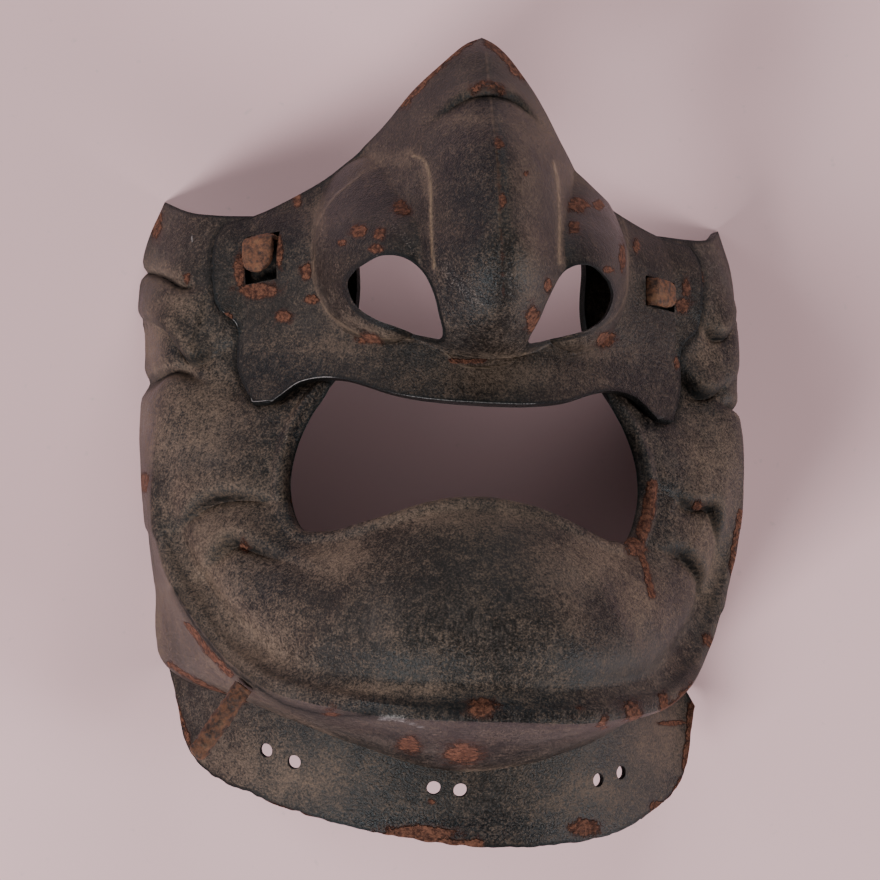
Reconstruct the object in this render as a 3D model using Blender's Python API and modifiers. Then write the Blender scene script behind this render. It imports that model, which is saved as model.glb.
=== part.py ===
"""An iron half-mask of Japanese armour, lying face up on the open back that it was worn against.

+X runs to the right of a person who looks at the face, +Y to the top of the nose, and +Z out of the
face. The rear rim lies in the plane z = 0, and all lengths are in metres. The mask is beaten from iron
plate: a horseshoe of cheeks, jaw and chin, a nose piece over its two posts, a throat plate lapped behind
the jaw, two bent tongues that hold the nose piece, and a peg for the helmet's cord.
"""

import math
from collections import namedtuple

import bmesh
import bpy
import numpy as np
from mathutils import Matrix, Vector
from mathutils.bvhtree import BVHTree

# Driving dimensions
HALF_WIDTH = 0.075  # from the middle to the widest cheek
HALF_HEIGHT = 0.096  # from the middle to the nose's top, and to the throat plate's edge
DEPTH = 0.100  # from the rear rim to the front of the jaw ridge
BODY_PLATE = 0.0018
NOSE_PLATE = 0.0017
THROAT_PLATE = 0.0017
CLEARANCE = 0.0003  # air between pieces that touch

# The jaw and the mouth
JAW_DIP = 0.0022  # how far the face sinks just inside the jaw ridge
JAW_LIFT = 0.0016  # how far the ridge stands over it
DIP_AT = 0.86  # where the dip lies on the way from the inner edge to the ridge, and its reach
DIP_REACH = 0.09
RIDGE_REACH = 0.05
LIP_ROLL = 0.0014  # height of the turned rim round the mouth
LIP_REACH = 0.0030
MOUTH_TOP = 0.16  # share of HALF_HEIGHT where the turned rim has run out, and where it starts to
MOUTH_FULL = 0.08

# The old mask is out of line: the chin stands to +X, and the right-hand jaw is pressed in
CHIN_LEAN = 0.0035
LEAN_FROM = -0.60  # shares of HALF_HEIGHT where the lean starts, and where it is full
LEAN_FULL = -0.79
JAW_PRESS = 0.0032
PRESS_AT = -0.32  # share of HALF_HEIGHT
PRESS_REACH = 0.19

# The nose
BRIDGE_ROUND = 0.0200  # how softly the nose piece rounds from the lip to the wings
KEEL_ROUND = 0.0012
TIP_ROUND = 0.0120
TIP_FROM = 0.52
TIP_FULL = 0.38
FLANK_SLOPE = 0.70
FLANK_CURVE = 44.0  # per metre: how fast the flanks steepen away from the keel
ALA_RISE = 0.0165  # height of the nostril's bulge over the face
ALA_OUT = 0.0228  # from the middle to the bulge's crown
ALA_HALF_WIDTH = 0.0142
ALA_Y = 0.0420
ALA_ABOVE = 0.0240
ALA_BELOW = 0.0195
ALA_EDGE = 0.7  # 0.5 is a bulge with upright sides, 1 a flat one
ALA_SINK = 0.0200  # how fast it runs down into the face outside its edge
BLEND = 0.0030  # how softly the bulges run into each other

# Fastenings
TONGUE_THICK = 0.0022
TONGUE_REACH = 0.0092
TONGUE_RISE = 0.0024  # how far the tongue stands over the nose piece
PEG_DIAMETER = 0.0046
PEG_LENGTH = 0.0195
PEG_X = -0.665  # beside the place where the peg stands, in shares of the half width,
PEG_Y = -0.585  # of the half height
PEG_Z = 0.65  # and of the depth
PEG_TURN = 8.0  # degrees towards -Y from square to the band
LACE_HOLE = 0.0033
LACE_SPACING = 0.0065
LAP = 0.0060  # how far the throat plate reaches up behind the jaw
LAP_AIR = 0.00075  # the facets of the two curves take up some of this air
KNEE_SHARE = 0.7  # how far behind the rim the throat plate turns outwards
THROAT_SPAN = 0.142  # the throat plate's share of the way round the horseshoe, each way from the chin

# Mesh resolution
BODY_AROUND = 56
FACE_ACROSS = 12
BAND_ACROSS = 6
NOSE_ACROSS = 28
NOSE_DOWN = 30
THROAT_AROUND = 30
THROAT_DOWN = 5
NOSTRIL_SIDES = 26
LACE_SIDES = 12
PEG_SIDES = 12

# Sections round the horseshoe, from the ear down to the middle of the chin, on the +X side. x, y and z
# are shares of HALF_WIDTH, HALF_HEIGHT and DEPTH. Each section runs from the inner edge over the cheek
# to the turn or jaw ridge, and from there back to the rim. sharp is 1 where the ridge is a crease.
Section = namedtuple(
    "Section", "inner_x inner_y inner_z cheek_x cheek_y cheek_z ridge_x ridge_y ridge_z rim_x rim_y rim_z sharp"
)
SECTIONS = (
    Section(0.36, 0.540, 0.380, 0.61, 0.535, 0.265, 0.82, 0.537, 0.155, 0.925, 0.578, -0.02, 0.0),
    Section(0.36, 0.440, 0.455, 0.61, 0.450, 0.330, 0.86, 0.445, 0.190, 0.980, 0.450, -0.02, 0.0),
    Section(0.36, 0.310, 0.480, 0.63, 0.300, 0.345, 0.925, 0.310, 0.210, 0.985, 0.310, -0.02, 0.0),
    Section(0.41, 0.165, 0.520, 0.66, 0.140, 0.370, 0.92, 0.150, 0.250, 0.975, 0.165, -0.02, 0.0),
    Section(0.50, 0.052, 0.520, 0.72, 0.040, 0.410, 0.94, 0.030, 0.280, 0.97, 0.045, -0.02, 0.0),
    Section(0.55, -0.050, 0.530, 0.76, -0.070, 0.450, 0.945, -0.090, 0.310, 0.955, -0.080, -0.02, 0.2),
    Section(0.56, -0.150, 0.550, 0.75, -0.200, 0.500, 0.93, -0.245, 0.360, 0.92, -0.230, -0.02, 0.6),
    Section(0.52, -0.232, 0.600, 0.69, -0.325, 0.600, 0.865, -0.380, 0.450, 0.875, -0.385, -0.02, 1.0),
    Section(0.43, -0.232, 0.660, 0.56, -0.395, 0.740, 0.752, -0.507, 0.570, 0.865, -0.530, -0.02, 1.0),
    Section(0.36, -0.214, 0.700, 0.47, -0.405, 0.810, 0.668, -0.566, 0.680, 0.81, -0.605, 0.060, 1.0),
    Section(0.29, -0.191, 0.730, 0.39, -0.405, 0.865, 0.556, -0.604, 0.790, 0.61, -0.650, 0.290, 1.0),
    Section(0.15, -0.150, 0.765, 0.21, -0.395, 0.945, 0.30, -0.627, 0.950, 0.35, -0.728, 0.430, 1.0),
    Section(0.00, -0.135, 0.780, 0.00, -0.385, 0.975, 0.00, -0.627, 1.000, 0.00, -0.785, 0.490, 1.0),
)

# Folds beaten into the cheeks: a curve through four places, in shares of HALF_WIDTH and HALF_HEIGHT.
# rise lifts the side to the left of the curve's way, and groove sinks the curve itself, both in shares
# of FOLD_HEIGHT; reach is a share of FOLD_REACH.
FOLD_HEIGHT = 0.0030
FOLD_REACH = 0.0070
Fold = namedtuple("Fold", "x1 y1 x2 y2 x3 y3 x4 y4 rise groove reach")
FOLDS = (
    Fold(-1.00, 0.40, -0.95, 0.385, -0.89, 0.355, -0.83, 0.355, 0.0, 0.75, 0.7),
    Fold(-0.97, 0.28, -0.91, 0.235, -0.85, 0.175, -0.77, 0.205, 1.0, 0.2, 0.9),
    Fold(-0.99, 0.07, -0.95, 0.130, -0.90, 0.145, -0.82, 0.125, 0.0, 0.75, 0.7),
    Fold(-0.89, -0.24, -0.80, -0.175, -0.71, -0.155, -0.60, -0.160, 0.7, 0.3, 0.8),
    Fold(-0.80, -0.33, -0.73, -0.265, -0.66, -0.275, -0.56, -0.300, 0.7, 0.3, 0.8),
    Fold(0.80, 0.32, 0.85, 0.295, 0.90, 0.300, 0.95, 0.350, 0.5, 0.4, 0.8),
    Fold(0.72, 0.20, 0.77, 0.155, 0.83, 0.150, 0.89, 0.180, 0.8, 0.2, 0.8),
    Fold(0.88, 0.125, 0.92, 0.120, 0.95, 0.110, 0.98, 0.105, 0.0, 0.6, 0.6),
    Fold(0.68, -0.11, 0.75, -0.135, 0.83, -0.140, 0.88, -0.230, 0.6, 0.3, 0.8),
    Fold(0.63, -0.24, 0.72, -0.250, 0.80, -0.300, 0.84, -0.360, 0.5, 0.3, 0.8),
)
FOLD_SOFTNESS = 0.0022
FOLD_ENDS = 0.6  # under 1, so that a fold keeps its height nearly to its ends
GROOVE_REACH = 0.45  # share of the fold's reach

# The nose piece's outline on the +X side, in shares of HALF_WIDTH and HALF_HEIGHT
Place = namedtuple("Place", "x y")
NOSE_TOP = (
    Place(0.00, 0.985), Place(0.06, 0.955), Place(0.17, 0.860), Place(0.285, 0.730), Place(0.405, 0.635),
    Place(0.578, 0.555), Place(0.745, 0.505),
)
TOP_SKEW = 0.036  # the top edge lies this far out of line to -X between apex and wing
TOP_SKEW_SHAPE = 1.6  # over 1, so that the skew is greatest nearer the wing
NOSE_SIDE = (
    Place(0.745, 0.505), Place(0.775, 0.450), Place(0.765, 0.310), Place(0.710, 0.255), Place(0.705, 0.150),
    Place(0.66, 0.062),
)
NOSE_BOTTOM = (
    Place(0.00, 0.088), Place(0.13, 0.091), Place(0.26, 0.103), Place(0.41, 0.135), Place(0.52, 0.125),
    Place(0.60, 0.078), Place(0.66, 0.062),
)

# The nose piece's heights along the middle, in shares of HALF_HEIGHT and DEPTH: the keel of the nose,
# and the face under it
Height = namedtuple("Height", "y z")
KEEL = (
    Height(0.985, 0.46), Height(0.94, 0.55), Height(0.88, 0.62), Height(0.78, 0.74), Height(0.68, 0.84),
    Height(0.57, 0.91), Height(0.47, 0.945), Height(0.39, 0.940), Height(0.33, 0.905), Height(0.28, 0.860),
    Height(0.23, 0.780), Height(0.19, 0.680), Height(0.15, 0.550), Height(0.06, 0.300),
)
FACE = (
    Height(0.985, 0.46), Height(0.86, 0.48), Height(0.73, 0.49), Height(0.64, 0.52), Height(0.56, 0.58),
    Height(0.50, 0.64), Height(0.44, 0.675), Height(0.31, 0.70), Height(0.23, 0.715), Height(0.155, 0.74),
    Height(0.08, 0.775),
)

# The frown's fold across the bridge, and the right-hand nostril's outline, in shares of HALF_WIDTH and
# HALF_HEIGHT. The left-hand nostril mirrors it.
FROWN = Fold(-0.15, 0.775, -0.06, 0.828, 0.06, 0.828, 0.14, 0.785, 0.65, 0.45, 0.55)
NOSTRIL = (
    Place(0.40, 0.400), Place(0.335, 0.432), Place(0.27, 0.430), Place(0.215, 0.400), Place(0.180, 0.350),
    Place(0.158, 0.300), Place(0.135, 0.245), Place(0.185, 0.246), Place(0.265, 0.263), Place(0.34, 0.283),
    Place(0.395, 0.315), Place(0.42, 0.365),
)
NOSTRIL_SKEW = 0.0010  # how far the right-hand nostril lies nearer to the middle

# The slots in the wings: middle and size in shares of HALF_WIDTH and HALF_HEIGHT, and the way in which
# the tongue is hammered over, in degrees from +X
Slot = namedtuple("Slot", "side x y width height turn")
SLOTS = (
    Slot("left", -0.645, 0.430, 0.120, 0.125, -90.0),
    Slot("right", 0.625, 0.388, 0.155, 0.075, 0.0),
)

# The throat plate's lower edge from the -X corner to the +X corner, in shares of HALF_WIDTH,
# HALF_HEIGHT and DEPTH
Edge = namedtuple("Edge", "x y z")
THROAT_EDGE = (
    Edge(-0.872, -0.680, 0.045), Edge(-0.800, -0.835, 0.120), Edge(-0.60, -0.912, 0.270),
    Edge(-0.30, -0.968, 0.400), Edge(0.03, -0.995, 0.445), Edge(0.30, -0.990, 0.420), Edge(0.55, -0.958, 0.310),
    Edge(0.775, -0.855, 0.150), Edge(0.855, -0.665, 0.045),
)

# The lacing holes' pairs: the middle of each in shares of HALF_WIDTH, and their way from the free edge
# in shares of HALF_HEIGHT
Lace = namedtuple("Lace", "x from_edge")
LACES = (Lace(-0.512, 0.122), Lace(-0.005, 0.137), Lace(0.545, 0.143))

IRON = (0.035, 0.032, 0.031, 1.0)
RUST = (0.190, 0.070, 0.032, 1.0)


def clear_scene():
    for obj in list(bpy.data.objects):
        bpy.data.objects.remove(obj)


def collection(name):
    made = bpy.data.collections.new(name)
    bpy.context.scene.collection.children.link(made)
    return made


def metal(name, colour, roughness, metallic):
    made = bpy.data.materials.new(name)
    made.use_nodes = True
    shader = made.node_tree.nodes["Principled BSDF"]
    shader.inputs["Base Color"].default_value = colour
    shader.inputs["Roughness"].default_value = roughness
    shader.inputs["Metallic"].default_value = metallic
    return made


def spline(knots, along):
    """The smooth curve through the knots, at 0 for the first and 1 for the last."""
    knots = np.asarray(knots, float)
    steps = np.clip(np.asarray(along, float), 0.0, 1.0) * (len(knots) - 1)
    start = np.minimum(steps.astype(int), len(knots) - 2)
    part = (steps - start)[..., None]
    padded = np.vstack([2 * knots[:1] - knots[1:2], knots, 2 * knots[-1:] - knots[-2:-1]])
    a, b, c, d = (padded[start + i] for i in range(4))
    return 0.5 * (2 * b + (c - a) * part + (2 * a - 5 * b + 4 * c - d) * part**2 + (3 * b - a - 3 * c + d) * part**3)


def height_at(table, y):
    """The height that a table of heights gives at y, read smoothly."""
    knots = np.array(table) * (HALF_HEIGHT, DEPTH)
    dense = spline(knots, np.linspace(0, 1, 160))
    return np.interp(-y, -dense[:, 0], dense[:, 1])


def smooth_step(value):
    value = np.clip(value, 0.0, 1.0)
    return value * value * (3 - 2 * value)


def smooth_max(a, b, width):
    near = np.maximum(width - np.abs(a - b), 0.0) / width
    return np.maximum(a, b) + near * near * width / 4


def fold_push(fold, x, y):
    """How far a fold lifts the plate at x, y."""
    curve = spline(np.reshape(fold[:8], (4, 2)) * (HALF_WIDTH, HALF_HEIGHT), np.linspace(0, 1, 33))
    way = np.gradient(curve, axis=0)
    way /= np.linalg.norm(way, axis=1)[:, None]
    flat = np.stack([x.ravel(), y.ravel()], axis=1)
    away = flat[:, None, :] - curve[None]
    nearest = (away**2).sum(axis=2).argmin(axis=1)
    away = away[np.arange(len(flat)), nearest]
    way = way[nearest]
    side = way[:, 0] * away[:, 1] - way[:, 1] * away[:, 0]
    distance = np.linalg.norm(away, axis=1)
    ends = np.sin(math.pi * np.clip(nearest / (len(curve) - 1), 0.03, 0.97)) ** FOLD_ENDS
    reach = fold.reach * FOLD_REACH
    lift = fold.rise * np.tanh(side / FOLD_SOFTNESS) * np.exp(-distance / reach)
    sink = fold.groove * np.exp(-((distance / (GROOVE_REACH * reach)) ** 2))
    return ((lift - sink) * ends * FOLD_HEIGHT).reshape(x.shape)


def grid_normals(grid):
    """Outward unit normals of a grid of points."""
    across = np.gradient(grid, axis=1)
    along = np.gradient(grid, axis=0)
    normals = np.cross(along, across)
    return normals / np.maximum(np.linalg.norm(normals, axis=2), 1e-12)[..., None]


def lean(grid):
    """The grid of a mask in line, moved as the old one is out of line."""
    height = grid[..., 1] / HALF_HEIGHT
    low = smooth_step((height - LEAN_FROM) / (LEAN_FULL - LEAN_FROM))
    pressed = np.exp(-(((height - PRESS_AT) / PRESS_REACH) ** 2)) * smooth_step(grid[..., 0] / HALF_WIDTH)
    grid[..., 0] += CHIN_LEAN * low - JAW_PRESS * pressed
    return grid


def sections_round(around):
    """Section values at each step round the horseshoe, from the +X ear to the -X ear."""
    half = np.array(SECTIONS)
    mirror = np.array([-1 if name.endswith("_x") else 1 for name in Section._fields])
    every = np.vstack([half, (half * mirror)[-2::-1]])
    scale = {"x": HALF_WIDTH, "y": HALF_HEIGHT, "z": DEPTH}
    scales = np.array([scale.get(name[-1], 1.0) if "_" in name else 1.0 for name in Section._fields])
    return spline(every * scales, around)


def body_grid(around, face, band):
    """Points of the body's middle surface: rows round the horseshoe, columns from inner edge to rim."""
    rows = sections_round(around)
    inner, cheek, ridge, rim = (rows[:, i : i + 3] for i in (0, 3, 6, 9))
    sharp = np.clip(rows[:, 12:13], 0, 1)
    smooth_way = 0.5 * (rim - cheek)
    into_ridge = smooth_way + sharp * ((ridge - cheek) - smooth_way)
    out_of_ridge = smooth_way + sharp * ((rim - ridge) - smooth_way)
    over_cheek = 0.5 * (ridge - inner)
    out_of_rim = 2 * (cheek - inner) - over_cheek

    def between(start, end, leave, arrive, share):
        s = share[None, :, None]
        start, end, leave, arrive = (v[:, None, :] for v in (start, end, leave, arrive))
        return (
            (2 * s**3 - 3 * s**2 + 1) * start
            + (s**3 - 2 * s**2 + s) * leave
            + (3 * s**2 - 2 * s**3) * end
            + (s**3 - s**2) * arrive
        )

    first = between(inner, cheek, out_of_rim, over_cheek, face[face < 0.5] * 2)
    second = between(cheek, ridge, over_cheek, into_ridge, face[face >= 0.5] * 2 - 1)
    third = between(ridge, rim, out_of_ridge, rim - ridge, band)
    grid = np.concatenate([first, second, third], axis=1)
    normals = grid_normals(grid)
    share = np.concatenate([face, np.ones_like(band)])[None, :]
    dip = JAW_DIP * np.exp(-(((share - DIP_AT) / DIP_REACH) ** 2)) * (share < 1)
    crest = JAW_LIFT * np.exp(-(((share - 1) / RIDGE_REACH) ** 2))
    push = sharp * (crest - dip)
    from_edge = np.linalg.norm(grid - grid[:, :1], axis=2)
    at_mouth = smooth_step((MOUTH_TOP - grid[:, :1, 1] / HALF_HEIGHT) / (MOUTH_TOP - MOUTH_FULL))
    push = push + LIP_ROLL * at_mouth * np.exp(-((from_edge / LIP_REACH) ** 2))
    for fold in FOLDS:
        push = push + fold_push(fold, grid[..., 0], grid[..., 1])
    return lean(grid + normals * push[..., None])


def nose_height(x, y):
    """Height of the nose piece: the face, the nose with its keel, and the nostrils' bulges."""
    x = np.abs(x)
    face = height_at(FACE, y) + BRIDGE_ROUND - np.hypot(BRIDGE_ROUND, x)
    low = smooth_step((TIP_FROM - y / HALF_HEIGHT) / (TIP_FROM - TIP_FULL))
    rounding = KEEL_ROUND + (TIP_ROUND - KEEL_ROUND) * low
    out = np.hypot(x, rounding) - rounding
    nose = height_at(KEEL, y) - FLANK_SLOPE * out - FLANK_CURVE * x * x
    tall = np.where(y > ALA_Y, ALA_ABOVE, ALA_BELOW)
    dome = 1 - ((x - ALA_OUT) / ALA_HALF_WIDTH) ** 2 - ((y - ALA_Y) / tall) ** 2
    bulge = face + ALA_RISE * np.maximum(dome, 0.0) ** ALA_EDGE - ALA_SINK * np.maximum(-dome, 0.0)
    return smooth_max(smooth_max(face, bulge, BLEND), nose, BLEND)


def nose_grid(across, down):
    """Points of the nose piece's middle surface: rows from the top edge down, columns from -X to +X."""
    to_plan = np.array([HALF_WIDTH, HALF_HEIGHT])
    out = np.abs(across)[None, :, None]
    drop = down[:, None, None]
    top = spline(np.array(NOSE_TOP) * to_plan, np.abs(across))[None]
    bottom = spline(np.array(NOSE_BOTTOM) * to_plan, np.abs(across))[None]
    side = spline(np.array(NOSE_SIDE) * to_plan, down)[:, None]
    middle = top[:, :1] * 0 + np.array(NOSE_TOP[0]) * to_plan * (1 - drop) + np.array(NOSE_BOTTOM[0]) * to_plan * drop
    corners = (
        (1 - out) * (1 - drop) * np.array(NOSE_TOP[0]) * to_plan
        + out * (1 - drop) * np.array(NOSE_TOP[-1]) * to_plan
        + (1 - out) * drop * np.array(NOSE_BOTTOM[0]) * to_plan
        + out * drop * np.array(NOSE_BOTTOM[-1]) * to_plan
    )
    plan = (1 - drop) * top + drop * bottom + (1 - out) * middle + out * side - corners
    skew = TOP_SKEW * HALF_WIDTH * np.sin(math.pi * out[..., 0] ** TOP_SKEW_SHAPE) * (1 - drop[..., 0])
    x = plan[..., 0] * np.sign(across)[None, :] - skew
    y = plan[..., 1]
    z = nose_height(x, y) + fold_push(FROWN, x, y)
    return np.stack([x, y, z], axis=2)


def sheet_tree(grid):
    """A search tree over a grid's facets, which face outwards."""
    rows, columns = grid.shape[:2]
    index = np.arange(rows * columns).reshape(rows, columns)
    corners = (index[:-1, :-1], index[1:, :-1], index[1:, 1:], index[:-1, 1:])
    quads = np.stack(corners, axis=2).reshape(-1, 4)
    return BVHTree.FromPolygons(grid.reshape(-1, 3).tolist(), quads.tolist())


def clear_of(grid, tree, gap):
    """The grid, with each point that is nearer than gap to the other sheet's outer side moved out to it."""
    points = grid.reshape(-1, 3).copy()
    for _ in range(3):
        for i, point in enumerate(points):
            place, normal, _, _ = tree.find_nearest(point.tolist(), 2.5 * gap)
            if place is None:
                continue
            height = (Vector(point) - place).dot(normal)
            if height < gap:
                points[i] += np.array(normal) * (gap - height)
    return points.reshape(grid.shape)


def throat_grid(around):
    """Points of the throat plate: rows from behind the jaw down to the free edge."""
    stations = 0.5 + (around - 0.5) * 2 * THROAT_SPAN
    body = body_grid(stations, np.linspace(0, 1, FACE_ACROSS + 1), np.linspace(0, 1, BAND_ACROSS + 1)[1:])
    inward = -grid_normals(body)[::-1, -1]
    rim = body[::-1, -1]
    up = body[::-1, -2] - rim
    up /= np.linalg.norm(up, axis=1)[:, None]
    behind = inward * (BODY_PLATE / 2 + THROAT_PLATE / 2 + LAP_AIR)
    edge = spline(np.array(THROAT_EDGE) * (HALF_WIDTH, HALF_HEIGHT, DEPTH), around)
    edge[:, 0] += CHIN_LEAN
    knee = rim + KNEE_SHARE * behind - up * THROAT_PLATE
    rows = [rim + behind + up * LAP * share for share in (1.0, 0.5, 0.1)]
    rows += [knee + (edge - knee) * share for share in np.linspace(0, 1, THROAT_DOWN + 1)]
    return np.array(rows)


def sheet(name, grid, thickness, material, home):
    """A plate whose middle surface runs through a grid of points."""
    rows, columns = grid.shape[:2]
    mesh = bpy.data.meshes.new(name)
    shape = bmesh.new()
    bmesh.ops.create_grid(shape, x_segments=columns - 1, y_segments=rows - 1, size=1.0)
    for vertex, place in zip(shape.verts, grid.reshape(-1, 3)):
        vertex.co = place
    shape.to_mesh(mesh)
    shape.free()
    mesh.materials.append(material)
    mesh.shade_smooth()
    obj = bpy.data.objects.new(name, mesh)
    home.objects.link(obj)
    plate = obj.modifiers.new("plate", "SOLIDIFY")
    plate.thickness = thickness
    plate.offset = 0.0
    return obj


def cut(obj, cutter):
    tool = obj.modifiers.new(cutter.name, "BOOLEAN")
    tool.operation = "DIFFERENCE"
    tool.solver = "EXACT"
    tool.object = cutter


def as_cutter(obj, tools):
    obj.hide_render = True
    obj.display_type = "WIRE"
    for place in list(obj.users_collection):
        place.objects.unlink(obj)
    tools.objects.link(obj)
    return obj


def table_cutter(tools):
    """Everything below the table, so that the rear rim is flat."""
    bpy.ops.mesh.primitive_cube_add(size=1.0)
    block = bpy.context.object
    block.name = "below_table"
    block.data.transform(Matrix.Diagonal((4 * HALF_WIDTH, 4 * HALF_HEIGHT, DEPTH, 1.0)))
    block.data.transform(Matrix.Translation((0.0, 0.0, -DEPTH / 2)))
    return as_cutter(block, tools)


def prism(name, outline, low, high, tools):
    """An upright block with the given outline."""
    shape = bmesh.new()
    corners = [shape.verts.new((x, y, low)) for x, y in outline]
    floor = shape.faces.new(corners)
    raised = bmesh.ops.extrude_face_region(shape, geom=[floor])["geom"]
    moved = [part for part in raised if isinstance(part, bmesh.types.BMVert)]
    bmesh.ops.translate(shape, verts=moved, vec=(0.0, 0.0, high - low))
    bmesh.ops.recalc_face_normals(shape, faces=shape.faces)
    mesh = bpy.data.meshes.new(name)
    shape.to_mesh(mesh)
    shape.free()
    block = bpy.data.objects.new(name, mesh)
    bpy.context.scene.collection.objects.link(block)
    return as_cutter(block, tools)


def nostril_cutter(side, tools):
    corners = np.array(NOSTRIL + NOSTRIL[:1]) * (side * HALF_WIDTH, HALF_HEIGHT)
    corners[:, 0] -= NOSTRIL_SKEW * (side > 0)
    outline = spline(corners, np.linspace(0, 1, NOSTRIL_SIDES + 1))[:-1]
    return prism("nostril_cutter", outline, 0.35 * DEPTH, 1.1 * DEPTH, tools)


def frame_at(place, normal, turn):
    """A matrix at place: +Z along the normal, and +X along the face, turned by so many degrees."""
    normal = Vector(normal).normalized()
    across = Vector((1.0, 0.0, 0.0))
    across = (across - normal * across.dot(normal)).normalized()
    up = normal.cross(across)
    turned = Matrix((across, up, normal)).transposed().to_4x4()
    return Matrix.Translation(place) @ turned @ Matrix.Rotation(math.radians(turn), 4, "Z")


def slot_frame(slot, nose_tree):
    above = Vector((slot.x * HALF_WIDTH, slot.y * HALF_HEIGHT, 2 * DEPTH))
    place, normal, _, _ = nose_tree.ray_cast(above, Vector((0.0, 0.0, -1.0)))
    return frame_at(place, normal, 0.0)


def slot_cutter(slot, frame, tools):
    bpy.ops.mesh.primitive_cube_add(size=1.0)
    block = bpy.context.object
    block.name = "slot_cutter"
    size = (slot.width * HALF_WIDTH, slot.height * HALF_HEIGHT, 6 * NOSE_PLATE, 1.0)
    block.data.transform(Matrix.Diagonal(size))
    block.data.transform(frame)
    return as_cutter(block, tools)


def tongue(slot, frame, body_tree, material, home):
    """A tongue that stands on the body, comes up through its slot and is hammered over."""
    width, length = slot.height * HALF_HEIGHT, slot.width * HALF_WIDTH
    if slot.turn:
        width, length = length, width
    turned = frame @ Matrix.Rotation(math.radians(slot.turn), 4, "Z")
    stem = turned @ Vector((-length / 2 + CLEARANCE + TONGUE_THICK / 2, 0.0, 0.0))
    down = -frame.to_3x3().col[2]
    sideways = turned.to_3x3().col[1] * (width / 2 - CLEARANCE)
    above = [stem + sideways * side - down * NOSE_PLATE for side in (-1, 0, 1)]
    fall = min(body_tree.ray_cast(place, down)[3] for place in above)
    foot = -(fall - NOSE_PLATE - BODY_PLATE / 2 - 2 * CLEARANCE)
    over = NOSE_PLATE / 2 + TONGUE_RISE
    start = -length / 2 + 2 * CLEARANCE
    end = start + TONGUE_REACH
    bend = TONGUE_THICK
    outline = [(start, foot), (start + TONGUE_THICK, foot), (start + TONGUE_THICK, over - TONGUE_THICK)]
    outline += [(end, over - TONGUE_THICK), (end, over)]
    for step in range(5):
        angle = math.radians(90 + 22.5 * step)
        outline.append((start + bend + bend * math.cos(angle), over - bend + bend * math.sin(angle)))
    curve = bpy.data.curves.new("nose_hook_" + slot.side, "CURVE")
    curve.dimensions = "2D"
    curve.fill_mode = "BOTH"
    curve.extrude = width / 2 - CLEARANCE
    line = curve.splines.new("POLY")
    line.points.add(len(outline) - 1)
    line.use_cyclic_u = True
    for point, (x, y) in zip(line.points, outline):
        point.co = (x, y, 0.0, 1.0)
    curve.materials.append(material)
    hook = bpy.data.objects.new(curve.name, curve)
    hook.matrix_world = turned @ Matrix.Rotation(math.pi / 2, 4, "X")
    home.objects.link(hook)
    return hook


def cord_peg(body_tree, material, home):
    """The short rod for the helmet's cord, which stands out of the band under the jaw ridge."""
    outside = Vector((PEG_X * HALF_WIDTH, PEG_Y * HALF_HEIGHT, PEG_Z * DEPTH))
    wall, square, _, _ = body_tree.find_nearest(outside)
    way = Matrix.Rotation(math.radians(PEG_TURN), 3, "Z") @ Vector((square.x, square.y, 0.0)).normalized()
    tilted = PEG_DIAMETER / 2 * way.cross(square).length
    root = wall + way * ((BODY_PLATE / 2 + tilted + CLEARANCE) / way.dot(square))
    bpy.ops.mesh.primitive_cylinder_add(vertices=PEG_SIDES, radius=PEG_DIAMETER / 2, depth=PEG_LENGTH)
    peg = bpy.context.object
    peg.name = "cord_peg"
    peg.data.transform(Matrix.Translation((0.0, 0.0, PEG_LENGTH / 2)))
    peg.data.transform(frame_at(root, way, 0.0))
    peg.data.materials.append(material)
    peg.data.shade_smooth()
    peg.data.set_sharp_from_angle(angle=math.radians(40))
    for place in list(peg.users_collection):
        place.objects.unlink(peg)
    home.objects.link(peg)
    return peg


def lace_cutters(grid, tools):
    """Drills for three pairs of lacing holes, square to the throat plate."""
    flange = grid[-THROAT_DOWN - 1 :]
    normals = grid_normals(flange)
    from_edge = np.linalg.norm(flange - flange[-1:], axis=2)
    found = []
    for lace in LACES:
        for side in (-0.5, 0.5):
            out = flange[..., 0] - lace.x * HALF_WIDTH - side * LACE_SPACING
            off = np.hypot(out, from_edge - lace.from_edge * HALF_HEIGHT)
            row, column = np.unravel_index(off.argmin(), off.shape)
            bpy.ops.mesh.primitive_cylinder_add(vertices=LACE_SIDES, radius=LACE_HOLE / 2, depth=5 * THROAT_PLATE)
            drill = bpy.context.object
            drill.name = "lace_cutter"
            drill.data.transform(frame_at(flange[row, column], normals[row, column], 0.0))
            found.append(as_cutter(drill, tools))
    return found


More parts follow.
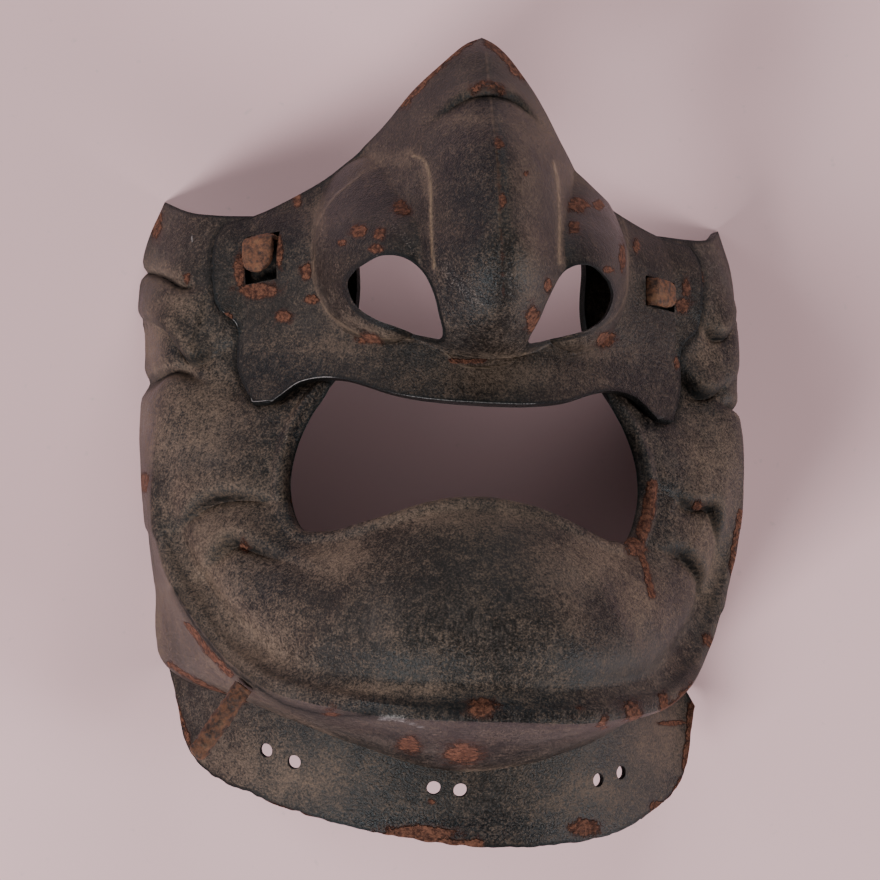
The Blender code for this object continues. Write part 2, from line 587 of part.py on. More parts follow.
def main():
    clear_scene()
    home = collection("iron_half_mask")
    tools = collection("cutters")
    iron = metal("blackened_iron", IRON, 0.55, 0.7)
    rust = metal("rusty_iron", RUST, 0.85, 0.2)

    around = np.linspace(0, 1, BODY_AROUND + 1)
    face = np.linspace(0, 1, FACE_ACROSS + 1)
    band = np.linspace(0, 1, BAND_ACROSS + 1)[1:]
    body_points = body_grid(around, face, band)
    body_tree = sheet_tree(body_points)
    table = table_cutter(tools)
    body = sheet("mask_body", body_points, BODY_PLATE, iron, home)
    cut(body, table)

    across = np.linspace(-1, 1, NOSE_ACROSS + 1)
    down = np.linspace(0, 1, NOSE_DOWN + 1)
    gap = BODY_PLATE / 2 + NOSE_PLATE / 2 + 1.5 * CLEARANCE
    nose_points = clear_of(nose_grid(across, down), body_tree, gap)
    nose_tree = sheet_tree(nose_points)
    nose = sheet("nose_piece", nose_points, NOSE_PLATE, iron, home)
    for side in (-1, 1):
        cut(nose, nostril_cutter(side, tools))
    for slot in SLOTS:
        frame = slot_frame(slot, nose_tree)
        cut(nose, slot_cutter(slot, frame, tools))
        tongue(slot, frame, body_tree, rust, home)

    throat_points = throat_grid(np.linspace(0, 1, THROAT_AROUND + 1))
    throat = sheet("throat_plate", throat_points, THROAT_PLATE, iron, home)
    cut(throat, table)
    dense = throat_grid(np.linspace(0, 1, 8 * THROAT_AROUND + 1))
    for drill in lace_cutters(dense, tools):
        cut(throat, drill)
    cord_peg(body_tree, rust, home)


main()
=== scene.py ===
# %% [markdown]
# # An old iron half-mask
#
# The object is a half-mask from a suit of Japanese armour, beaten from thin iron plate and blackened. It
# lies on the open back that was worn against the face. This notebook dresses the plain solids of the
# part: it makes each plate again as a fine mesh with crisp folds, cuts its holes, and gives it a patina of
# dust, wear and rust. The photograph sees it from straight above, with a long lens.

# %% Load the frame
import math
from collections import namedtuple

import bmesh
import bpy
import numpy as np
from mathutils import Matrix, Vector, noise
from mathutils.bvhtree import BVHTree
from mathutils.kdtree import KDTree


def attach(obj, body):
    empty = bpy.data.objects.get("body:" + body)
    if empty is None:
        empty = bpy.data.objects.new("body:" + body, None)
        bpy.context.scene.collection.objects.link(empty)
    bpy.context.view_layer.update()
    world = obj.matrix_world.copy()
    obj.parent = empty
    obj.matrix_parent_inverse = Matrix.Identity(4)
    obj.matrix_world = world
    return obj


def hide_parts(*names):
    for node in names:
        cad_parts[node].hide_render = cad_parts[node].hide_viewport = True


NOISE_SEED = 7
noise.seed_set(NOISE_SEED)  # without a seed, vector noise differs from one run to the next
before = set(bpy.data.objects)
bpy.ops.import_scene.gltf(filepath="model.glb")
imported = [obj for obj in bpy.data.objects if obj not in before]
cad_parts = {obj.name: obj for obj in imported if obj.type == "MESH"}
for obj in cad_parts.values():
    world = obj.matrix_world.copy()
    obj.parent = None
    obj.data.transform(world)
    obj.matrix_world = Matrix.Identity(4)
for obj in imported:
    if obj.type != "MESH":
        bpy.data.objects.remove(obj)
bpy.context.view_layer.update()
print("nodes:", sorted(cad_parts))

# %% [markdown]
# ## The camera
#
# A camera is best set before anything else, because every later choice is judged through it. The photo was
# taken from nearly a metre away and turned a little, so that the nose stands to the right of the rim
# behind it. The same numbers serve twice: they place the camera, and they tell where a point of the mask
# falls in the picture, which is how patches of rust find their places.

# %% Camera
PICTURE = 880  # pixels, each way
DISTANCE = 0.950
FOCAL = 3830.0  # pixels
ROLL = math.radians(-2.5)
SWING = math.radians(8.5)
ORIGIN_AT = 435.0  # the picture column of the mask's origin

turn = Matrix.Rotation(ROLL, 3, "Z") @ Matrix.Rotation(SWING, 3, "Y")
shift = Vector(((ORIGIN_AT - PICTURE / 2) * DISTANCE / FOCAL, 0.0, 0.0))
camera_data = bpy.data.cameras.new("camera")
camera_data.sensor_width = 36.0
camera_data.lens = FOCAL / PICTURE * camera_data.sensor_width
camera_data.clip_start = 0.05
camera = bpy.data.objects.new("camera", camera_data)
camera.location = turn.transposed() @ (Vector((0.0, 0.0, DISTANCE)) - shift)
camera.rotation_euler = turn.transposed().to_euler()
bpy.context.scene.collection.objects.link(camera)
bpy.context.scene.camera = camera


def in_picture(points):
    """Where points of the mask fall in the picture: columns, then rows from the top."""
    seen = points @ np.array(turn).T + np.array(shift)
    away = DISTANCE - seen[..., 2]
    column = PICTURE / 2 + FOCAL * seen[..., 0] / away
    row = PICTURE / 2 - FOCAL * seen[..., 1] / away
    return column, row


print("lens", round(camera_data.lens, 1), "mm")

# %% [markdown]
# ## Floor and light
#
# Dark metal shows what it reflects, so the lights are large, soft panels. They stand low at the sides and
# leave the middle free. Light from straight above would fall through the open mouth, and the table inside
# would look bright, while on the real thing it is nearly black.

# %% Floor
FLOOR_HALF = 1.6
FLOOR_DROP = 0.0002


def plain_mesh(name, points, faces):
    mesh = bpy.data.meshes.new(name)
    mesh.from_pydata([tuple(point) for point in points], [], faces)
    mesh.update()
    made = bpy.data.objects.new(name, mesh)
    bpy.context.scene.collection.objects.link(made)
    return made


sides = ((-1, -1), (1, -1), (1, 1), (-1, 1))
corners = [(x * FLOOR_HALF, y * FLOOR_HALF, -FLOOR_DROP) for x, y in sides]
floor = plain_mesh("table_top", corners, [(0, 1, 2, 3)])
print("floor", 2 * FLOOR_HALF, "m wide")

# %% Lights
Panel = namedtuple("Panel", "x y z wide watts warmth")
PANELS = (
    Panel(-0.95, -1.05, 1.00, 0.55, 32.0, 1.00),
    Panel(1.35, -0.50, 0.60, 0.60, 19.0, 0.99),
    Panel(0.25, 1.35, 0.70, 0.80, 9.0, 1.00),
    Panel(-1.40, 0.60, 0.75, 0.70, 9.0, 1.00),
)
PANEL_GREEN = 0.975
PANEL_BLUE = 0.965
ROOM_COLOUR = (1.0, 0.95, 0.95, 1.0)
ROOM_STRENGTH = 0.05
for number, panel in enumerate(PANELS):
    light = bpy.data.lights.new(f"panel_{number}", "AREA")
    light.shape = "SQUARE"
    light.size = panel.wide
    light.energy = panel.watts
    light.color = (1.0, panel.warmth * PANEL_GREEN, panel.warmth * PANEL_BLUE)
    lamp = bpy.data.objects.new(light.name, light)
    lamp.location = Vector((panel.x, panel.y, panel.z))
    lamp.rotation_euler = lamp.location.to_track_quat("Z", "Y").to_euler()
    bpy.context.scene.collection.objects.link(lamp)
world = bpy.data.worlds.new("soft_room")
world.use_nodes = True
backdrop = world.node_tree.nodes["Background"]
backdrop.inputs["Color"].default_value = ROOM_COLOUR
backdrop.inputs["Strength"].default_value = ROOM_STRENGTH
bpy.context.scene.world = world
print(len(PANELS), "soft panels")

# %% [markdown]
# ## Curves and surfaces from a few numbers
#
# A beaten plate has no straight lines, but a smith still thinks of it in a few sections. Three small
# helpers turn a short table into a smooth surface: one draws a curve through a row of knots, one eases
# from 0 to 1, and one joins two heights without a crease.

# %% Curve helpers
HALF_WIDTH = 0.075
HALF_HEIGHT = 0.096
DEPTH = 0.100


def spline(knots, along):
    """The smooth curve through the knots, at 0 for the first and 1 for the last."""
    knots = np.asarray(knots, float)
    steps = np.clip(np.asarray(along, float), 0.0, 1.0) * (len(knots) - 1)
    start = np.minimum(steps.astype(int), len(knots) - 2)
    part = (steps - start)[..., None]
    padded = np.vstack([2 * knots[:1] - knots[1:2], knots, 2 * knots[-1:] - knots[-2:-1]])
    a, b, c, d = (padded[start + i] for i in range(4))
    bend = 2 * a - 5 * b + 4 * c - d
    twist = 3 * b - a - 3 * c + d
    return 0.5 * (2 * b + (c - a) * part + bend * part**2 + twist * part**3)


def smooth_step(value):
    value = np.clip(value, 0.0, 1.0)
    return value * value * (3 - 2 * value)


def smooth_max(a, b, width):
    near = np.maximum(width - np.abs(a - b), 0.0) / width
    return np.maximum(a, b) + near * near * width / 4


def grid_normals(grid):
    """Outward unit normals of a grid of points."""
    normals = np.cross(np.gradient(grid, axis=0), np.gradient(grid, axis=1))
    return normals / np.maximum(np.linalg.norm(normals, axis=2), 1e-12)[..., None]


def uneven(grid, size, seed):
    """Smooth random heights from -1 to 1 over a grid, with bumps of the given size."""
    flat = grid.reshape(-1, 3) / size + seed
    return np.array([noise.noise(point) for point in flat.tolist()]).reshape(grid.shape[:2])


def hammered(grid, waves):
    """The grid, dented by waves that each have a height, a size and a seed."""
    push = sum(height * uneven(grid, size, seed) for height, size, seed in waves)
    return grid + grid_normals(grid) * push[..., None]


def quads(grid):
    """The four corners of each facet of a grid, in the order that faces outwards."""
    rows, columns = grid.shape[:2]
    index = np.arange(rows * columns).reshape(rows, columns)
    ring = (index[:-1, :-1], index[1:, :-1], index[1:, 1:], index[:-1, 1:])
    return np.stack(ring, axis=2).reshape(-1, 4).tolist()


print("mask", 2000 * HALF_WIDTH, "x", 2000 * HALF_HEIGHT, "x", 1000 * DEPTH, "mm")


# %% [markdown]
# ## The folds of the cheeks
#
# The smith drove the angry creases in from both sides of the plate. Each one is a step: the skin above
# the line bulges over the skin below it, like a roll of flesh. A function can lift a surface by how far
# and on which side of a drawn line a point lies. That keeps every crease editable as a single row of a
# table, where sculpting would freeze it.

# %% Folds
FOLD_HEIGHT = 0.0034
FOLD_REACH = 0.0070
FOLD_SOFTNESS = 0.0007
FOLD_ENDS = 0.6
GROOVE_REACH = 0.30
Fold = namedtuple("Fold", "x1 y1 x2 y2 x3 y3 x4 y4 rise groove reach")
FOLDS = (
    Fold(-1.00, 0.40, -0.95, 0.385, -0.89, 0.355, -0.83, 0.355, 0.0, 0.75, 0.7),
    Fold(-0.97, 0.28, -0.91, 0.235, -0.85, 0.175, -0.77, 0.205, 1.0, 0.2, 0.9),
    Fold(-0.99, 0.07, -0.95, 0.130, -0.90, 0.145, -0.82, 0.125, 0.0, 0.75, 0.7),
    Fold(-0.89, -0.24, -0.80, -0.175, -0.71, -0.155, -0.60, -0.160, 0.7, 0.3, 0.8),
    Fold(-0.80, -0.33, -0.73, -0.265, -0.66, -0.275, -0.56, -0.300, 0.7, 0.3, 0.8),
    Fold(0.80, 0.32, 0.85, 0.295, 0.90, 0.300, 0.95, 0.350, 0.5, 0.4, 0.8),
    Fold(0.72, 0.20, 0.77, 0.155, 0.83, 0.150, 0.89, 0.180, 0.8, 0.2, 0.8),
    Fold(0.88, 0.125, 0.92, 0.120, 0.95, 0.110, 0.98, 0.105, 0.0, 0.6, 0.6),
    Fold(0.68, -0.11, 0.75, -0.135, 0.83, -0.140, 0.88, -0.230, 0.6, 0.3, 0.8),
    Fold(0.63, -0.24, 0.72, -0.250, 0.80, -0.300, 0.84, -0.360, 0.5, 0.3, 0.8),
)


def by_fold(fold, x, y):
    """Which points lie near a fold's line, their side and distance, and how full the fold is there."""
    curve = spline(np.reshape(fold[:8], (4, 2)) * (HALF_WIDTH, HALF_HEIGHT), np.linspace(0, 1, 65))
    way = np.gradient(curve, axis=0)
    way /= np.linalg.norm(way, axis=1)[:, None]
    low = curve.min(axis=0) - 5 * FOLD_REACH
    high = curve.max(axis=0) + 5 * FOLD_REACH
    near = (x > low[0]) & (x < high[0]) & (y > low[1]) & (y < high[1])
    flat = np.stack([x[near], y[near]], axis=1)
    away = flat[:, None, :] - curve[None]
    nearest = (away**2).sum(axis=2).argmin(axis=1)
    away = away[np.arange(len(flat)), nearest]
    way = way[nearest]
    side = way[:, 0] * away[:, 1] - way[:, 1] * away[:, 0]
    distance = np.linalg.norm(away, axis=1)
    full = np.sin(math.pi * np.clip(nearest / (len(curve) - 1), 0.03, 0.97)) ** FOLD_ENDS
    return near, side, distance, full


def fold_push(fold, x, y):
    """How far a fold lifts the plate at x, y."""
    near, side, distance, full = by_fold(fold, x, y)
    reach = fold.reach * FOLD_REACH
    lift = fold.rise * np.tanh(side / FOLD_SOFTNESS) * np.exp(-distance / reach)
    sink = fold.groove * np.exp(-((distance / (GROOVE_REACH * reach)) ** 2))
    push = np.zeros(x.shape)
    push[near] = (lift - sink) * full * FOLD_HEIGHT
    return push


print(len(FOLDS), "cheek folds")

# %% [markdown]
# ## The body
#
# The body is a horseshoe: two cheeks that run down into the jaw and meet at the chin. Along the way round,
# thirteen sections give its inner edge, the swell of the cheek, the jaw ridge and the rear rim. A surface
# drawn through sections, called a loft, suits it better than a sculpted lump, because the mouth, the ridge
# and the rim then run as clean lines through the whole plate.

# %% Body sections
JAW_DIP = 0.0022
JAW_LIFT = 0.0016
DIP_AT = 0.86
DIP_REACH = 0.09
RIDGE_REACH = 0.035
LIP_ROLL = 0.0011
LIP_AT = 0.0019
LIP_REACH = 0.0014
LIP_DROP = 0.0010
LIP_CUT = 0.0008
MOUTH_TOP = 0.16
MOUTH_FULL = 0.08
CHIN_LEAN = 0.0035
LEAN_FROM = -0.60
LEAN_FULL = -0.79
JAW_PRESS = 0.0032
PRESS_AT = -0.32
PRESS_REACH = 0.19
Section = namedtuple(
    "Section",
    "inner_x inner_y inner_z cheek_x cheek_y cheek_z ridge_x ridge_y ridge_z rim_x rim_y rim_z sharp",
)
SECTIONS = (
    Section(0.36, 0.540, 0.380, 0.61, 0.535, 0.265, 0.82, 0.537, 0.155, 0.925, 0.578, -0.02, 0.0),
    Section(0.36, 0.440, 0.455, 0.61, 0.450, 0.330, 0.86, 0.445, 0.190, 0.980, 0.450, -0.02, 0.0),
    Section(0.36, 0.310, 0.480, 0.63, 0.300, 0.345, 0.925, 0.310, 0.210, 0.985, 0.310, -0.02, 0.0),
    Section(0.41, 0.165, 0.520, 0.66, 0.140, 0.370, 0.92, 0.150, 0.250, 0.975, 0.165, -0.02, 0.0),
    Section(0.50, 0.052, 0.520, 0.72, 0.040, 0.410, 0.94, 0.030, 0.280, 0.97, 0.045, -0.02, 0.0),
    Section(0.55, -0.050, 0.530, 0.76, -0.070, 0.450, 0.945, -0.090, 0.310, 0.955, -0.080, -0.02, 0.2),
    Section(0.56, -0.150, 0.550, 0.75, -0.200, 0.500, 0.93, -0.245, 0.360, 0.92, -0.230, -0.02, 0.6),
    Section(0.52, -0.232, 0.600, 0.69, -0.325, 0.600, 0.865, -0.380, 0.450, 0.875, -0.385, -0.02, 1.0),
    Section(0.43, -0.232, 0.660, 0.56, -0.395, 0.740, 0.752, -0.507, 0.570, 0.865, -0.530, -0.02, 1.0),
    Section(0.36, -0.214, 0.700, 0.47, -0.405, 0.810, 0.668, -0.566, 0.680, 0.81, -0.605, 0.060, 1.0),
    Section(0.29, -0.191, 0.730, 0.39, -0.405, 0.865, 0.556, -0.604, 0.790, 0.61, -0.650, 0.290, 1.0),
    Section(0.15, -0.150, 0.765, 0.21, -0.395, 0.945, 0.30, -0.627, 0.950, 0.35, -0.728, 0.430, 1.0),
    Section(0.00, -0.135, 0.780, 0.00, -0.385, 0.975, 0.00, -0.627, 1.000, 0.00, -0.785, 0.490, 1.0),
)


def lean(grid):
    """The grid of a mask in line, moved as the old one is out of line."""
    height = grid[..., 1] / HALF_HEIGHT
    low = smooth_step((height - LEAN_FROM) / (LEAN_FULL - LEAN_FROM))
    pressed = np.exp(-(((height - PRESS_AT) / PRESS_REACH) ** 2)) * smooth_step(grid[..., 0] / HALF_WIDTH)
    grid[..., 0] += CHIN_LEAN * low - JAW_PRESS * pressed
    return grid


def sections_round(around):
    """Section values at each step round the horseshoe, from the +X ear to the -X ear."""
    half = np.array(SECTIONS)
    mirror = np.array([-1 if name.endswith("_x") else 1 for name in Section._fields])
    every = np.vstack([half, (half * mirror)[-2::-1]])
    scale = {"x": HALF_WIDTH, "y": HALF_HEIGHT, "z": DEPTH}
    scales = np.array([scale.get(name[-1], 1.0) if "_" in name else 1.0 for name in Section._fields])
    return spline(every * scales, around)


def between(start, end, leave, arrive, share):
    """The curve from start to end that leaves and arrives in the given directions."""
    s = share[None, :, None]
    start, end, leave, arrive = (v[:, None, :] for v in (start, end, leave, arrive))
    return (
        (2 * s**3 - 3 * s**2 + 1) * start
        + (s**3 - 2 * s**2 + s) * leave
        + (3 * s**2 - 2 * s**3) * end
        + (s**3 - s**2) * arrive
    )


def smooth_grid(around, face, band):
    """The body without its folds: rows round the horseshoe, columns from inner edge to rim."""
    rows = sections_round(around)
    inner, cheek, ridge, rim = (rows[:, i : i + 3] for i in (0, 3, 6, 9))
    sharp = np.clip(rows[:, 12:13], 0, 1)
    smooth_way = 0.5 * (rim - cheek)
    into_ridge = smooth_way + sharp * ((ridge - cheek) - smooth_way)
    out_of_ridge = smooth_way + sharp * ((rim - ridge) - smooth_way)
    over_cheek = 0.5 * (ridge - inner)
    out_of_rim = 2 * (cheek - inner) - over_cheek
    first = between(inner, cheek, out_of_rim, over_cheek, face[face < 0.5] * 2)
    second = between(cheek, ridge, over_cheek, into_ridge, face[face >= 0.5] * 2 - 1)
    third = between(ridge, rim, out_of_ridge, rim - ridge, band)
    return np.concatenate([first, second, third], axis=1), sharp


def body_grid(around, face, band):
    """Points of the body's middle surface, with its jaw ridge, rolled lip and folds."""
    grid, sharp = smooth_grid(around, face, band)
    normals = grid_normals(grid)
    share = np.concatenate([face, np.ones_like(band)])[None, :]
    dip = JAW_DIP * np.exp(-(((share - DIP_AT) / DIP_REACH) ** 2)) * (share < 1)
    crest = JAW_LIFT * np.exp(-(((share - 1) / RIDGE_REACH) ** 2))
    push = sharp * (crest - dip)
    from_edge = np.linalg.norm(grid - grid[:, :1], axis=2)
    at_mouth = smooth_step((MOUTH_TOP - grid[:, :1, 1] / HALF_HEIGHT) / (MOUTH_TOP - MOUTH_FULL))
    roll = LIP_ROLL * np.exp(-(((from_edge - LIP_AT) / LIP_REACH) ** 2))
    roll -= LIP_DROP * np.exp(-((from_edge / LIP_CUT) ** 2))
    push = push + roll * at_mouth
    for fold in FOLDS:
        push = push + fold_push(fold, grid[..., 0], grid[..., 1])
    return lean(grid + normals * push[..., None])


# %% Body points
BODY_AROUND = 340
FACE_ACROSS = 76
BAND_ACROSS = 46
CROWDING = 1.0
FOLDS_AT = 0.185
FOLDS_REACH = 0.13
BODY_DENTS = ((0.00030, 0.016, 3.0), (0.00010, 0.005, 9.0))


def crowded(steps):
    """Shares of the way round, which lie closer together where the folds need fine mesh."""
    share = np.linspace(0, 1, 2001)
    middle = np.abs(share - 0.5)
    density = 1 + CROWDING * np.exp(-(((middle - 0.5 + FOLDS_AT) / FOLDS_REACH) ** 4))
    travelled = np.cumsum(density) - density[0]
    return np.interp(np.linspace(0, 1, steps + 1), travelled / travelled[-1], share)


around = crowded(BODY_AROUND)
face = np.linspace(0, 1, FACE_ACROSS + 1)
band = np.linspace(0, 1, BAND_ACROSS + 1)[1:]
body_points = hammered(body_grid(around, face, band), BODY_DENTS)
print("body grid", body_points.shape[:2])

# %% [markdown]
# ## The nose piece
#
# The nose and upper lip are a plate of their own, which lies over the two posts of the body. Seen from
# the front it never folds back on itself, so it can be a height over each place of its outline. The height
# is the highest of three simple forms with soft joins: the face, the nose with its keel, and a dome for
# each nostril.

# %% Nose forms
BRIDGE_ROUND = 0.0200
KEEL_ROUND = 0.0009
TIP_ROUND = 0.0120
TIP_FROM = 0.52
TIP_FULL = 0.38
FLANK_SLOPE = 0.70
FLANK_CURVE = 44.0
ALA_RISE = 0.0165
ALA_OUT = 0.0228
ALA_HALF_WIDTH = 0.0142
ALA_Y = 0.0420
ALA_ABOVE = 0.0240
ALA_BELOW = 0.0195
ALA_EDGE = 0.54
ALA_SINK = 0.0200
BLEND = 0.0018
# Each row is y and z, in shares of the half height and the depth.
KEEL = (
    (0.985, 0.46), (0.94, 0.55), (0.88, 0.62), (0.78, 0.74), (0.68, 0.84), (0.57, 0.91), (0.47, 0.945),
    (0.39, 0.940), (0.33, 0.905), (0.28, 0.860), (0.23, 0.780), (0.19, 0.680), (0.15, 0.550),
    (0.06, 0.300),
)
FACE = (
    (0.985, 0.46), (0.86, 0.48), (0.73, 0.49), (0.64, 0.52), (0.56, 0.58), (0.50, 0.64), (0.44, 0.675),
    (0.31, 0.70), (0.23, 0.715), (0.155, 0.74), (0.08, 0.775),
)
FROWN = Fold(-0.15, 0.775, -0.06, 0.828, 0.06, 0.828, 0.14, 0.785, 0.65, 0.45, 0.55)


def height_at(table, y):
    """The height that a table of heights gives at y, read smoothly."""
    dense = spline(np.array(table) * (HALF_HEIGHT, DEPTH), np.linspace(0, 1, 400))
    return np.interp(-y, -dense[:, 0], dense[:, 1])


def nose_height(x, y):
    """Height of the nose piece: the face, the nose with its keel, and the nostrils' bulges."""
    x = np.abs(x)
    flat = height_at(FACE, y) + BRIDGE_ROUND - np.hypot(BRIDGE_ROUND, x)
    low = smooth_step((TIP_FROM - y / HALF_HEIGHT) / (TIP_FROM - TIP_FULL))
    rounding = KEEL_ROUND + (TIP_ROUND - KEEL_ROUND) * low
    out = np.hypot(x, rounding) - rounding
    nose = height_at(KEEL, y) - FLANK_SLOPE * out - FLANK_CURVE * x * x
    tall = np.where(y > ALA_Y, ALA_ABOVE, ALA_BELOW)
    dome = 1 - ((x - ALA_OUT) / ALA_HALF_WIDTH) ** 2 - ((y - ALA_Y) / tall) ** 2
    bulge = flat + ALA_RISE * np.maximum(dome, 0.0) ** ALA_EDGE - ALA_SINK * np.maximum(-dome, 0.0)
    return smooth_max(smooth_max(flat, bulge, BLEND), nose, BLEND)


# %% Nose outline
# Each row is x and y, in shares of the half width and the half height.
NOSE_TOP = (
    (0.00, 0.985), (0.06, 0.955), (0.17, 0.860), (0.285, 0.730), (0.405, 0.635), (0.578, 0.555),
    (0.745, 0.505),
)
TOP_SKEW = 0.036
TOP_SKEW_SHAPE = 1.6
NOSE_SIDE = (
    (0.745, 0.505), (0.775, 0.450), (0.765, 0.310), (0.710, 0.255), (0.705, 0.150), (0.66, 0.062),
)
NOSE_BOTTOM = (
    (0.00, 0.088), (0.13, 0.091), (0.26, 0.103), (0.41, 0.135), (0.52, 0.125), (0.60, 0.078),
    (0.66, 0.062),
)


def nose_grid(across, down):
    """Points of the nose piece's middle surface: rows from the top edge down, columns from -X to +X."""
    to_plan = np.array([HALF_WIDTH, HALF_HEIGHT])
    out = np.abs(across)[None, :, None]
    drop = down[:, None, None]
    top = spline(np.array(NOSE_TOP) * to_plan, np.abs(across))[None]
    bottom = spline(np.array(NOSE_BOTTOM) * to_plan, np.abs(across))[None]
    side = spline(np.array(NOSE_SIDE) * to_plan, down)[:, None]
    middle = np.array(NOSE_TOP[0]) * to_plan * (1 - drop) + np.array(NOSE_BOTTOM[0]) * to_plan * drop
    corner = (
        (1 - out) * (1 - drop) * np.array(NOSE_TOP[0]) * to_plan
        + out * (1 - drop) * np.array(NOSE_TOP[-1]) * to_plan
        + (1 - out) * drop * np.array(NOSE_BOTTOM[0]) * to_plan
        + out * drop * np.array(NOSE_BOTTOM[-1]) * to_plan
    )
    plan = (1 - drop) * top + drop * bottom + (1 - out) * middle + out * side - corner
    skew = TOP_SKEW * HALF_WIDTH * np.sin(math.pi * out[..., 0] ** TOP_SKEW_SHAPE) * (1 - drop[..., 0])
    x = plan[..., 0] * np.sign(across)[None, :] - skew
    y = plan[..., 1]
    z = nose_height(x, y) + fold_push(FROWN, x, y)
    return np.stack([x, y, z], axis=2)


# %% [markdown]
# The wings of the nose piece lie on the body's posts. Two surfaces from different formulas never lie
# neatly on each other, so each point that comes too near is moved out along the body's own normal until
# the plates clear each other by a hair, as two hammered plates do.

# %% Nose points
PLATE = 0.0018
NOSE_PLATE = 0.0017
HAIR = 0.00045
NOSE_ACROSS = 230
NOSE_DOWN = 176
NOSE_DENTS = ((0.00022, 0.012, 21.0),)


def sheet_tree(grid):
    """A search tree over a grid's facets, which face outwards."""
    return BVHTree.FromPolygons(grid.reshape(-1, 3).tolist(), quads(grid))


def clear_of(grid, tree, gap):
    """The grid, with each point nearer than gap to the other sheet's outer side moved out to it."""
    points = grid.reshape(-1, 3).copy()
    for _ in range(2):
        for i, point in enumerate(points):
            place, normal, _, _ = tree.find_nearest(point.tolist(), 2.5 * gap)
            if place is None:
                continue
            height = (Vector(point) - place).dot(normal)
            if height < gap:
                points[i] += np.array(normal) * (gap - height)
    return points.reshape(grid.shape)


body_tree = sheet_tree(body_points)
nose_points = nose_grid(np.linspace(-1, 1, NOSE_ACROSS + 1), np.linspace(0, 1, NOSE_DOWN + 1))
nose_points = hammered(nose_points, NOSE_DENTS)
nose_points = clear_of(nose_points, body_tree, PLATE / 2 + NOSE_PLATE / 2 + HAIR)
nose_tree = sheet_tree(nose_points)
print("nose grid", nose_points.shape[:2])

# %% [markdown]
# ## The throat plate
#
# A narrow flange is riveted behind the jaw's lower edge. Laced plates once hung from its holes. It starts
# behind the body's rim, follows it round, and runs out to a ragged edge.

# %% Throat points
THROAT_PLATE = 0.0017
LAP = 0.0060
LAP_AIR = 0.00075
KNEE_SHARE = 0.7
THROAT_SPAN = 0.142
THROAT_AROUND = 240
THROAT_DOWN = 63
LAP_ROWS = 8
RAGGED = 0.0005
BITES = ((1.0, 0.0045, 5.0), (0.6, 0.0018, 8.0))  # height, size and seed, as for dents
BITE_FLOOR = -0.3
BITES_NEAR_EDGE = 6  # the power that keeps the bites out of the rest of the plate
# Each row is x, y and z, in shares of the half width, the half height and the depth.
THROAT_EDGE = (
    (-0.872, -0.680, 0.045), (-0.800, -0.835, 0.120), (-0.60, -0.912, 0.270), (-0.30, -0.968, 0.400),
    (0.03, -0.995, 0.445), (0.30, -0.990, 0.420), (0.55, -0.958, 0.310), (0.775, -0.855, 0.150),
    (0.855, -0.665, 0.045),
)


def throat_grid(around, down):
    """Points of the throat plate: rows from behind the jaw down to the free edge."""
    stations = 0.5 + (around - 0.5) * 2 * THROAT_SPAN
    coarse = body_grid(stations, np.linspace(0, 1, 13), np.linspace(0, 1, 7)[1:])
    inward = -grid_normals(coarse)[::-1, -1]
    rim = coarse[::-1, -1]
    up = coarse[::-1, -2] - rim
    up /= np.linalg.norm(up, axis=1)[:, None]
    behind = inward * (PLATE / 2 + THROAT_PLATE / 2 + LAP_AIR)
    edge = spline(np.array(THROAT_EDGE) * (HALF_WIDTH, HALF_HEIGHT, DEPTH), around)
    edge[:, 0] += CHIN_LEAN
    knee = rim + KNEE_SHARE * behind - up * THROAT_PLATE
    rows = [rim + behind + up * LAP * share for share in np.linspace(1.0, 0.1, LAP_ROWS)]
    rows += [knee + (edge - knee) * share for share in down]
    return np.array(rows)


throat_points = throat_grid(np.linspace(0, 1, THROAT_AROUND + 1), np.linspace(0, 1, THROAT_DOWN + 1))
edge_line = throat_points[-1:]
bites = sum(height * uneven(edge_line, size, seed) for height, size, seed in BITES)
to_knee = throat_points[LAP_ROWS : LAP_ROWS + 1] - edge_line
to_knee /= np.linalg.norm(to_knee, axis=2)[..., None]
near_edge = np.linspace(0, 1, len(throat_points))[:, None] ** BITES_NEAR_EDGE
throat_points += to_knee * (near_edge * RAGGED * np.clip(bites, BITE_FLOOR, 1.0))[..., None]
print("throat grid", throat_points.shape[:2])
